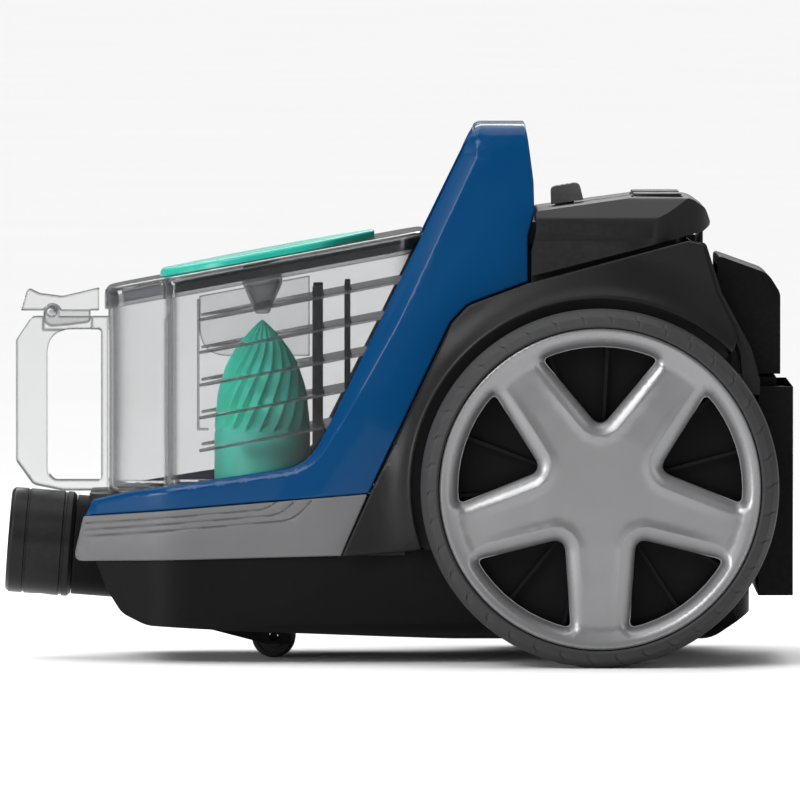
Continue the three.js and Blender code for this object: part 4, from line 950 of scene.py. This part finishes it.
def build_arches():
    arc = circle_points(WHEEL_X, WHEEL_Z, ARCH_HOLE, 34, 202, 60)
    loop = outline(ARCH_PANEL, 6) + arc
    face = -(BODY_HALF + 2)
    lip_out = 10.0

    def flare(u, v):
        off = np.hypot(u - WHEEL_X, v - WHEEL_Z) - ARCH_R
        angle = np.degrees(np.arctan2(v - WHEEL_Z, u - WHEEL_X)) % 360
        reach = np.clip(1 - np.maximum(off, 0) / 24, 0, 1) ** 2.6
        crown = 1 - np.clip(1 - off / 2.2, 0, 1) ** 2 * 0.16
        ends = np.clip((angle - 34) / 14, 0, 1) * np.clip((203 - angle) / 8, 0, 1)
        ends = ends * ends * (3 - 2 * ends)
        return lip_out * reach * crown * ends

    def outside(u, v, away):
        off = np.hypot(u - WHEEL_X, v - WHEEL_Z) - ARCH_R
        drop = edge_drop(away, 1.2)
        y = np.where(off < 0, face + 1.4, face - flare(u, v) + drop)
        return np.stack([u, y, v], -1)

    def within(u, v, away):
        return np.stack([u, face + 3 + 0 * u, v], -1)

    steps = (-0.06, 0.06, 0.5, 1.2, 2.2, 4, 6.5, 9.5, 13, 17, 22)
    rings = [circle_points(WHEEL_X, WHEEL_Z, ARCH_R + k, 30, 206, 120) for k in steps]
    arch = relief([loop], 5.0, outside, within, round_rings(1.2), rings, 2.4)
    foot = slab([[-28, 57], [-14, 88], [6, 88], [4, 57]], -87.4, -84.6)
    rear_edge = [[150, 219.6, 3], [159.5, 218.5, 3], [167.5, 193, 20], [183, 164, 20],
                 [187.4, 148], [187.4, 140], [179, 140],
                 [177.2, 163.0, 20], [162.4, 191.6, 20], [155.6, 215.6], [150, 216.6]]
    flange = slab(rear_edge, -87.4, -80.4)
    arch = join(arch, foot, flange)
    pair("wheel_arch", arch, smooth=40)


# ------------------------------------------------------------------ top cover and its controls
COVER_HALF = 86.6


def cover_side(d=0.0):
    low = 60 if d else 0
    return [
        [69.4 + d, 199 - low], [69.4 + d, 214], [71.8 + d, 224, 2], [71.8 + d, 234.6 - d, 1.5],
        [123.6, 241.8 - d, 8], [152, 241.4 - d, 10], [159.8 - d, 236 - d, 6],
        [162.8 - d, 227.6, 3], [158.6 - d, 224 - low],
    ]


def cover_plan(d=0.0):
    return inset(plan_of([[0, COVER_HALF], [132, COVER_HALF, 40], [162.8, 58, 30]]), d)


def cover_front(d=0.0):
    side = COVER_HALF - d
    return front_of([[side, 0], [side, 220, 4], [side - 4, 231 - d * 0.6, 5], [side - 20, 243.4 - d, 16]])


def pad(side, grow, z0, z1, radius=7):
    x, y = 12.5 + grow, 20 + grow
    middle = side * PAD_Y
    return round_box(PAD_X - x, PAD_X + x, middle - y, middle + y, z0, z1, radius)


def build_cover():
    outer = common(slab(cover_side(), -FAR, FAR, 8), plate(cover_plan(), 0, FAR, 12),
                   bar(cover_front(), -FAR, FAR, 8))
    inner = common(slab(cover_side(WALL), -FAR, FAR, 6), plate(cover_plan(WALL), 0, FAR, 8),
                   bar(cover_front(WALL), -FAR, FAR, 6))
    tongue_side = [[16, 217], [16, 222.6, 1], [72.4, 229], [72.4, 217]]
    tongue = slab(tongue_side, -62, 62)
    foot = slab([[60, -50], [60, 199], [158.6, 224], [FAR, 224], [FAR, -50]], -FAR, FAR)
    shell = cut(join(outer, tongue), inner, foot)
    tongue_room = slab([[18.6, 100], [18.6, 220.2], [72, 226.2], [74, 226.2], [74, 100]], -59.4, 59.4)
    slot = box(78.4, 125.4, -4, 4, 200, FAR)
    wells = [pad(side, 2.6, 211.2, 239.4, 8.6) for side in (1, -1)]
    rooms = [pad(side, 0.8, 213, FAR, 7) for side in (1, -1)]
    shell = cut(shell, tongue_room)
    shell = join(shell, *wells)
    shell = cut(shell, slot, *rooms, *[rod(3.8, 100, 260, "z", (PAD_X, s * PAD_Y, 0), 24) for s in (1, -1)])
    shell = join(shell, box(156.8, 158.4, -60, 60, 215, 226))
    piece("top_cover", rounded(shell, 1.1, 3, 33))


def build_controls():
    slope = math.atan2(241.8 - 234.6, 123.6 - 71.8)
    place = (Matrix.Translation(Vector((81.4, 0, 234.6 + math.tan(slope) * 9.6)) * MM)
             @ Matrix.Rotation(-slope, 4, "Y"))
    thumb = slab([[-1, 1], [0, 10, 3], [15, 10.4, 3], [16, 1]], -9, 9, 8)
    grips = merged(*[rod(0.8, -7, 7, "y", (3.2 + 2.8 * i, 0, 10.55 + 0.04 * i), 16) for i in range(4)])
    thumb = rounded(cut(thumb, grips), 0.8, 3, 40)
    lower = join(box(1, 11, -3.2, 3.2, -6, 1.2), box(-2, 16, -8, 8, -8.4, -5.6))
    slider = join(thumb, lower)
    piece("power_slider", transformed(slider, place))
    for side, name, foot in ((-1, "rewind", 194.6), (1, "power", 207)):
        cap = pad(side, 0, 233.4, 243.4, 6)
        hollow = pad(side, -2, 200, 241, 4)
        dish = lathe([[0, 242.7], [7, 243.0], [9, 243.9], [9, 246], [0, 246]], 64, "z",
                     (PAD_X, side * PAD_Y, 0))
        button = rounded(cut(cap, hollow, dish), 0.8, 3, 40)
        button = join(button, rod(3.4, foot, 241.4, "z", (PAD_X, side * PAD_Y, 0), 32))
        piece(f"{name}_button", button)


# ------------------------------------------------------------------ exhaust cover and bumper
def build_exhaust():
    def side(d=0.0):
        front = 156 if d else 166
        rear, foot = 198.6 - d, EXHAUST_FOOT + d
        return [[front, foot], [front, 211.5 - d, 2], [192.4 - d, 202 - d, 12], [rear, 192 - d, 8],
                [rear, foot]]

    outer = slab(side(), -60, 60, 10)
    inner = slab(side(WALL), -60 + WALL, 60 - WALL, 6)
    slots = []
    for i in range(6):
        z = 157 + 6.4 * i
        corners = [[-46, z, 1.4], [46, z, 1.4], [46, z + 3, 1.4], [-46, z + 3, 1.4]]
        slots.append(bar(corners, 185, 206, 5))
    cover = cut(outer, inner, merged(*slots))
    piece("exhaust_cover", rounded(cover, 1.6, 3, 40))


def build_bumper():
    outer = box(BUMPER_FRONT, REAR_X, -70, 70, BUMPER_FOOT, BUMPER_TOP)
    inner = box(180, REAR_X - WALL, -70 + WALL, 70 - WALL, BUMPER_FOOT + WALL, BUMPER_TOP - WALL)
    wall = box(BUMPER_FRONT, REAR_X - 0.1, -20, 20, BUMPER_FOOT + 0.1, BUMPER_TOP - 0.1)
    ledge = box(187, 196.5, -58, 58, BUMPER_TOP - 1.5, EXHAUST_FOOT - 1.4)
    bumper = join(cut(outer, inner), wall, ledge)
    parking = box(192, 201, -15, 15, 60, FAR)
    channel = box(192, 210, -10, 10, 60, FAR)
    gland = rod(13, 180, 220, "x", (0, -52, 120), 48)
    grooves = [
        merged(*[box(204.4, 208, y, y + 28, 48 + 7 * i, 50 + 7 * i) for i in range(count)])
        for y, count in ((30, 9), (-58, 7))
    ]
    bumper = cut(bumper, parking, channel, gland, *grooves)
    piece("rear_bumper", rounded(bumper, 1.3, 3, 40))


# ------------------------------------------------------------------ wheels
WINDOW_INNER, WINDOW_OUTER, WINDOW_HALF = 31.4, 73.2, 24.0


def window_loop(angle):
    arc = circle_points(0, 0, WINDOW_OUTER, 90 - WINDOW_HALF, 90 + WINDOW_HALF, 8)
    corners = [[0, WINDOW_INNER, 6]] + [[a, b, 6 if i in (0, 8) else 0] for i, (a, b) in enumerate(arc)]
    turn = math.radians(angle)
    return [(a * math.cos(turn) - b * math.sin(turn), a * math.sin(turn) + b * math.cos(turn))
            for a, b in outline(corners, 7)]


def build_wheels():
    outer_y = -WHEEL_MID_Y - TYRE_HALF
    build_tyre(outer_y)
    build_wheel_cover(outer_y)
    at = (WHEEL_X, 0, WHEEL_Z)
    hub = outer_y + 6.2
    body = lathe([
        [5.4, hub + 4], [10.8, hub + 4], [10.8, hub, 0.4], [15, hub, 1], [17, -106.5, 1.5], [30, -105.5],
        [76, -104.5, 3], [79.8, -106, 2], [79.8, hub + 3], [82.8, hub + 3, 0.6], [82.8, -94.5, 0.6],
        [79.8, -94.5], [78.8, -101.5], [12, -103.5], [5.4, -94.5],
    ], 128, "y", at)
    upright = Matrix.Rotation(math.radians(90), 4, "X")
    ribs = [box(16, 79, -0.9, 0.9, 0, 5) for _ in range(15)]
    for i, rib in enumerate(ribs):
        rib.data.transform(upright)
        rib.data.transform(Matrix.Rotation(math.radians(24 * i + 9), 4, "Y"))
        rib.data.transform(Matrix.Translation(Vector((WHEEL_X, -104.4, WHEEL_Z)) * MM))
    body = join(body, merged(*ribs))
    pair("wheel_body", body)
    axle = rod(5, -CORE_HALF + 16 - 47.5 - 4, -CORE_HALF + 16, "y", at, 32, 0.8)
    pair("wheel_axle", axle)
    clip = lathe([[5.3, -115.7], [10, -115.7, 0.3], [10, -114.1, 0.3], [5.3, -114.1]], 32, "y", at)
    pair("axle_clip", clip)


def build_tyre(outer_y):
    """A turned tyre whose grid leans over the shoulder, so that its slanted slits follow it."""
    shoulder = outline([
        [RIM_R + 0.4, outer_y + 1.4, 0.5], [RIM_R + 1.6, outer_y, 0.8], [WHEEL_R - 3.6, outer_y + 1.6, 2.5],
        [WHEEL_R - 0.8, outer_y + 7.0, 3], [WHEEL_R, outer_y + 12, 3],
    ], 5)
    crown = [(WHEEL_R, outer_y + 15), (WHEEL_R - 0.9, outer_y + 15.4), (WHEEL_R - 0.9, outer_y + 16.6),
             (WHEEL_R, outer_y + 17), (WHEEL_R, outer_y + 22), (WHEEL_R - 1.4, outer_y + 25),
             (WHEEL_R - 4, outer_y + 30 - 0.1), (RIM_R + 0.4, outer_y + 30)]
    rows = shoulder + crown
    slit_rows = [i for i, (r, t) in enumerate(shoulder) if r > 86.6 and t < outer_y + 5.6]
    first, last = slit_rows[0], slit_rows[-1]
    count = 38
    period = 360 / count
    columns = [0, 0.3, 0.52, 1.12, 1.34, 3.2, 5.4, 7.6]
    bm = bmesh.new()
    grid = []
    for i, (r, t) in enumerate(rows):
        lean = 0.0
        if i <= len(shoulder):
            lean = 1.3 * np.clip((i - first) / max(last - first, 1), -0.6, 1.6)
        ring = []
        for k in range(count):
            for j, column in enumerate(columns):
                deep = 0.55 if first <= i <= last and j in (2, 3) else 0.0
                a = math.radians(k * period + column + lean)
                ring.append(bm.verts.new(Vector((
                    WHEEL_X + (r - deep * 0.7) * math.cos(a), t + deep * 0.7,
                    WHEEL_Z + (r - deep * 0.7) * math.sin(a)
                )) * MM))
        grid.append(ring)
    sides = count * len(columns)
    for i in range(len(rows)):
        a, b = grid[i - 1], grid[i]
        for k in range(sides):
            n = (k + 1) % sides
            bm.faces.new((a[k], a[n], b[n], b[k]))
    pair("tyre", object_from(bm), smooth=42)


def build_wheel_cover(outer_y):
    loops = [circle_points(0, 0, RIM_R, 0, 357.5, 143)]
    windows = [window_loop(72 * i) for i in range(5)]
    profile_r = [0, 12, 30, 50, 66, 72.6, 76, 79, 81.5, RIM_R]
    profile_d = [2.0, 2.0, 2.3, 3.2, 4.4, 4.7, 3.4, 2.4, 2.0, 2.6]

    def outside(u, v, away):
        r = np.hypot(u, v)
        windows_away = np.minimum(edge_distance(np.stack([u, v], -1), windows), 40)
        depth = np.interp(r, profile_r, profile_d)
        width = 6.0
        near = np.clip(1 - windows_away / width, 0, 1)
        depth = depth + 4.2 * near ** 1.8
        ridge = (np.exp(-(((windows_away - 7.4) / 1.1) ** 2))
                 * np.clip((70 - r) / 26, 0, 1) * np.clip(r / 20, 0, 1))
        depth = depth - 0.55 * ridge
        depth = depth + 0.35 * np.clip((windows_away - 7.4) / 4, 0, 1) * np.clip((72 - r) / 30, 0, 1)
        return np.stack([WHEEL_X + u, outer_y + depth, WHEEL_Z + v], -1)

    def within(u, v, away):
        return np.stack([WHEEL_X + u, outer_y + 8.2 + 0 * u, WHEEL_Z + v], -1)

    rings = [circle_points(0, 0, r, 0, 357.5, 143) for r in (74.3, 76, 77.5, 79, 80.4, 81.6)]
    steps = (0.5, 1.1, 1.9, 3.0, 4.4, 6.0, 7.0, 7.8)
    cover = relief(loops + windows, 2.4, outside, within, steps, rings, 1.6)
    pair("wheel_cover", cover, smooth=45)


# ------------------------------------------------------------------ dust bucket
BUCKET_HALF_PLAN = [
    [BUCKET_FRONT, LOBE_HALF, 26], [LOBE_X, LOBE_HALF, 4],
    [LOBE_X, BUCKET_HALF, 12], [BUCKET_REAR, BUCKET_HALF, 20],
]


def offset_loop(loop, distance):
    """Each point moved inwards (or outwards, if negative) along its own normal."""
    count = len(loop)
    side = winding(loop)
    moved = []
    for i, p in enumerate(loop):
        before, after = Vector(loop[i - 1]), Vector(loop[(i + 1) % count])
        here = Vector(p)
        t = ((here - before).normalized() + (after - here).normalized()).normalized()
        moved.append((p[0] - t.y * side * distance, p[1] + t.x * side * distance))
    return moved


def lofted(layers, ring=False):
    """A solid through rings of equal count, closed by flat ends, or by joining its last ring to its first."""
    bm = bmesh.new()
    rings = [[bm.verts.new(Vector(p) * MM) for p in layer] for layer in layers]
    for a, b in zip(rings[-1:] + rings, rings) if ring else zip(rings, rings[1:]):
        for i in range(len(a)):
            bm.faces.new((a[i - 1], a[i], b[i], b[i - 1]))
    if not ring:
        bm.faces.new(rings[0])
        bm.faces.new(rings[-1])
    return object_from(bm)


def build_bucket():
    loop = resample(outline(plan_of(BUCKET_HALF_PLAN), 9), 6.0)
    floor = BUCKET_FLOOR

    def ring(distance, height):
        return [(x, y, height(x)) for x, y in offset_loop(loop, distance)]

    def between(t):
        return lambda x: floor + 4 + (lid_top(x) - 2.8 - floor - 4) * t

    wall = 2.4
    layers = [
        ring(4.0, lambda x: floor), ring(2.0, lambda x: floor + 0.55), ring(0.6, lambda x: floor + 1.9),
        ring(0.0, lambda x: floor + 4),
        ring(0.0, between(0.3)), ring(0.0, between(0.6)), ring(0.0, between(0.97)), ring(0.0, between(0.995)),
        ring(0.4, between(1.0)), ring(wall - 0.4, between(1.0)), ring(wall, between(0.995)),
        ring(wall, between(0.6)), ring(wall, between(0.3)), ring(wall, lambda x: floor + 5.0),
        ring(wall + 0.7, lambda x: floor + 3.1), ring(wall + 2.2, lambda x: floor + 2.4),
    ]
    bucket = lofted(layers)
    hole = rod(21.4, floor - 5, floor + 2.9, "z", (BUCKET_FRONT + 42, 0, 0), 64)
    outlet = prism(outline([[-30, 118, 6], [30, 118, 6], [30, 180, 6], [-30, 180, 6]], 5), 2, 30, "x")
    divider = slab([[LOBE_X - 1, floor + 2], [LOBE_X + 1.4, floor + 2], [LOBE_X + 1.4, lid_top(LOBE_X) - 22],
                    [LOBE_X - 1, lid_top(LOBE_X) - 22]], -LOBE_HALF + 1, LOBE_HALF - 1)
    bucket = cut(bucket, hole, outlet)
    bucket = join(bucket, divider)
    piece("dust_bucket", tidy(bucket, 0.01), smooth=38)
    build_lid(loop)


def build_lid(loop):
    def ring(distance, drop):
        return [(x, y, lid_top(x) - drop) for x, y in offset_loop(loop, distance)]

    rim = -1.8  # the lid's edge, outside the bucket's wall
    layers = [
        ring(rim + 2.6, 0.0), ring(rim + 1.2, 0.35), ring(rim + 0.3, 1.2), ring(rim, 2.6),
        ring(rim, 10.4), ring(-1.4, 11.0), ring(-0.5, 11.0), ring(-0.1, 10.4),
        ring(-0.1, 3.6), ring(0.4, 2.7), ring(1.6, 2.4),
    ]
    lid = lofted(layers)
    funnel = lathe([
        [0, -27.8], [3.6, -27.8, 2.0], [10.5, -12], [10.5, 1.0], [8.9, 1.0],
        [8.9, -12.4], [2.6, -26, 1.2], [0, -26],
    ], 64, "z", (CONE_X, 0, lid_top(CONE_X) - 1.6))
    notch = box(-FAR, BUCKET_FRONT - 0.4, -14, 14, 0, FAR)
    lid = cut(lid, notch)
    piece("bucket_lid", tidy(lid, 0.01), smooth=38)
    piece("bucket_lid", funnel, look="smoke_clear_plastic", name="vis_lid_funnel")

    section = [(2.9, 3.2), (2.9, 8.6), (4.4, 8.9), (4.8, 8.2), (4.8, 3.8), (4.3, 3.2)]
    seal = lofted([ring(distance, drop) for distance, drop in section], ring=True)
    seal = cut(seal, box(-FAR, LOBE_X + 4, -FAR, FAR, 0, FAR))
    piece("bucket_lid", seal, look="rubber", name="vis_lid_seal")

    corners = plan_of([[BUCKET_FRONT + 27, 26, 20], [BUCKET_FRONT + 60, 47, 40], [BUCKET_REAR - 50, 47, 30],
                       [BUCKET_REAR - 24, 12, 10]])
    shape = resample(outline(corners, 9), 4.0)

    def face(u, v, away):
        drop = edge_drop(away, 1.6) + 1.1 * np.exp(-(((away - 7.0) / 0.9) ** 2)) * 0.6
        return np.stack([u, v, lid_top(u) + 4.0 - drop], -1)

    def under(u, v, away):
        return np.stack([u, v, lid_top(u) + 0.3 + 0 * u], -1)

    panel = relief([shape], 5.0, face, under, (*round_rings(1.6), 5.6, 6.4, 7.0, 7.6, 8.4), (), 3.0)
    # The lid panel takes the darker teal copy: painted shade against the sun on it.
    piece("lid_panel", panel, look="teal_painted_shade_copy")
    build_bucket_handle()
    build_cyclone()


def build_bucket_handle():
    outer = [[-199, 103, 3], [-199, 166, 4], [-191, 178, 4], [-151, 178], [-151, 87.4], [-175, 87.4, 3],
             [-190, 90.5, 5]]
    window = [[-182.5, 96, 6], [-182.5, 171.5, 13], [-154.6, 171.5, 2], [-154.6, 92.6, 2], [-179, 92.6, 4]]
    loop = cut(slab(outer, -12, 12, 9), slab(window, -FAR, FAR, 9))
    loop = rounded(loop, 2.2, 4, 30)
    loop = cut(loop, box(-185, -159.6, -FAR, -8, 171, FAR), box(-185, -159.6, 8, FAR, 171, FAR))
    lug = rod(4.2, -8, 8, "y", (LEVER_X, 0, LEVER_Z - 1), 40)
    loop = cut(join(loop, lug), rod(2.2, -30, 30, "y", (LEVER_X, 0, LEVER_Z), 24))
    piece("bucket_handle", loop, smooth=38)
    top = [[-196.4, 181.4, 0.6], [-193, 193, 2], [-187, 190, 4], [-175, 188.4, 8], [-155.6, 193, 1],
           [-155.6, 181.4, 0.6]]
    lever = slab(top, -12, 12, 9)
    cheek = [[-184.6, 186], [-160.4, 186], [-160.4, 175, 2],
             [-172, 173.5, 6], [-181, 172.8, 3], [-184.6, 175, 3]]
    lever = join(lever, slab(cheek, -12, -9), slab(cheek, 9, 12))
    lever = cut(lever, rod(5.2, -9, 9, "y", (LEVER_X, 0, LEVER_Z - 1), 40),
                rod(2.2, -30, 30, "y", (LEVER_X, 0, LEVER_Z), 24))
    piece("release_lever", rounded(lever, 0.8, 3, 40))
    piece("lever_pin", rod(1.8, -12, 12, "y", (LEVER_X, 0, LEVER_Z), 24, 0.4))


def build_cyclone():
    base = BUCKET_FLOOR + 2.8
    flutes, per = 20, 10
    levels = [(0.0, CONE_R), (0.4, CONE_R), (26.0, CONE_R), (27.4, 24.9), (28.0, 24.5), (FLUTE_START, 24.6)]
    rows = 34
    for i in range(1, rows + 1):
        t = i / rows
        levels.append((FLUTE_START + (CONE_HEIGHT - FLUTE_START) * t,
                       CONE_R * (1 - 0.12 * t - 0.86 * t ** 3)))
    rings = []
    for height, radius in levels:
        t = max(0.0, (height - FLUTE_START) / (CONE_HEIGHT - FLUTE_START))
        twist = 62 * t
        fade = min(t * 14, 1.0) * (1 - t ** 6)
        ring = []
        for k in range(flutes * per):
            phase = (k % per) / per
            saw = phase / 0.8 if phase < 0.8 else (1 - phase) / 0.2
            a = math.radians(k * 360 / (flutes * per) + twist)
            r = max(radius - (4.6 - 2.2 * t) * fade * (1 - saw), 0.4)
            ring.append((CONE_X + r * math.cos(a), r * math.sin(a), base + height))
        rings.append(ring)
    piece("cyclone_cone", lofted(rings), smooth=30)

    loop = offset_loop(resample(outline(plan_of(BUCKET_HALF_PLAN), 9), 6.0), 2.8)
    blades = []
    for i in range(5):
        middle = lid_top(CONE_X) - 26 - i * 17
        reach = BUCKET_REAR - CONE_X
        arc = (circle_points(0, 0, 56, 126, 90, 14) + [(reach, 56), (reach, -56)]
               + circle_points(0, 0, 56, -90, -126, 14) + circle_points(0, 0, 33, -126, 126, 48))
        blade = prism(arc, 0, 1.6, "z")
        blade.data.transform(
            Matrix.Translation(Vector((CONE_X, 0, middle)) * MM) @ Matrix.Rotation(-0.19, 4, "Y"))
        blades.append(blade)
    posts = []
    for side in (-1, 1):
        posts.append(rod(2.6, base, lid_top(CONE_X) - 14, "z", (CONE_X + 29, side * 38, 0), 24))
        posts.append(box(CONE_X + 43, CONE_X + 46, side * 28 - 3, side * 28 + 3, base, lid_top(CONE_X) - 12))
    room = prism(loop, base, FAR, "z")
    below = slab([[-FAR, -FAR], [FAR, -FAR], [FAR, lid_top(FAR) - 13], [-FAR, lid_top(-FAR) - 13]], -FAR, FAR)
    cage = common(merged(*blades), room, below)
    piece("louvre_cage", rounded(cage, 0.35, 2, 40), look="smoke_clear_plastic")
    piece("louvre_cage", rounded(merged(*posts), 0.5, 2, 40), look="black_plastic", name="vis_louvre_posts")
    wall = [[-104, 156, 22], [-46, 156], [-46, lid_top(-46) - 15], [-104, lid_top(-104) - 15]]
    stem = [[-105.2, 117], [-99, 117], [-99, 118.4], [-103.8, 118.4], [-103.8, 186], [-105.2, 186]]
    walls = merged(slab(wall, 40, 41.4, 12), slab(stem, 36, 40.0))
    piece("louvre_cage", rounded(walls, 0.5, 2, 40), look="clear_plastic", name="vis_louvre_wall")


# ------------------------------------------------------------------ studio
def area_light(name, location, target, size, power, colour=(1, 1, 1)):
    data = bpy.data.lights.new(name, "AREA")
    data.shape = "RECTANGLE"
    data.size, data.size_y = size
    data.energy = power
    data.color = colour
    light = bpy.data.objects.new(name, data)
    light.location = location
    light.rotation_euler = (Vector(target) - Vector(location)).to_track_quat("-Z", "Y").to_euler()
    bpy.context.scene.collection.objects.link(light)
    return light


def build_studio():
    scene = bpy.context.scene
    bm = bmesh.new()
    reach = 80
    corners = ((-reach, -reach), (reach, -reach), (reach, reach), (-reach, reach))
    bm.faces.new([bm.verts.new((x, y, 0)) for x, y in corners])
    floor = object_from(bm, "floor")
    if floor.data.polygons[0].normal.z < 0:
        floor.data.flip_normals()
    g = Graph("floor")
    colour = g.blend(g.noise(2.0), (0.90, 0.90, 0.90), (0.93, 0.93, 0.93))
    paint = {"Base Color": colour, "Roughness": 0.9, "Specular IOR Level": 0.1}
    g.wire(g.add("BsdfPrincipled", paint), g.surface)
    floor.data.materials.append(g.material)

    world = bpy.data.worlds.new("studio")
    scene.world = world
    world.use_nodes = True
    world.node_tree.nodes["Background"].inputs["Color"].default_value = (1, 1, 1, 1)
    world.node_tree.nodes["Background"].inputs["Strength"].default_value = 0.2
    sun = bpy.data.lights.new("sky", "SUN")
    sun.energy = 2.75
    sun.angle = math.radians(70)
    sky = bpy.data.objects.new("sky", sun)
    sky.rotation_euler = (math.radians(-14), math.radians(-10), 0)
    scene.collection.objects.link(sky)
    area_light("key", (-1.1, -1.7, 1.5), (0, 0, 0.12), (1.2, 0.9), 34)
    area_light("side", (1.4, -1.4, 0.7), (0.05, 0, 0.12), (0.4, 1.2), 5)
    area_light("fill", (-2.0, -1.5, 0.45), (-0.08, 0, 0.14), (0.8, 0.5), 24)
    area_light("back", (0.3, 1.6, 1.1), (0, 0, 0.15), (1.6, 0.6), 16)

    camera = bpy.data.objects.new("camera", bpy.data.cameras.new("camera"))
    elevation = math.radians(2.0)
    distance = 8.0
    sensor, across = 36, 0.418  # mm, and metres across the picture at the model
    centre = Vector((0.0014, 0, 0.1343))
    camera.location = centre + Vector((0, -math.cos(elevation), math.sin(elevation))) * distance
    camera.rotation_euler = (math.pi / 2 - elevation, 0, 0)
    camera.data.lens = sensor * distance / across
    camera.data.sensor_width = sensor
    camera.data.clip_end = 200
    scene.collection.objects.link(camera)
    scene.camera = camera
    scene.view_settings.view_transform = "Standard"
    scene.cycles.transparent_max_bounces = 32


for name in frame["nodes"]:
    carried(name)
build_inlet()
build_tub()
build_caster()
build_casing()
build_trims()
build_arches()
build_cover()
build_controls()
build_exhaust()
build_bumper()
build_wheels()
build_bucket()
build_studio()
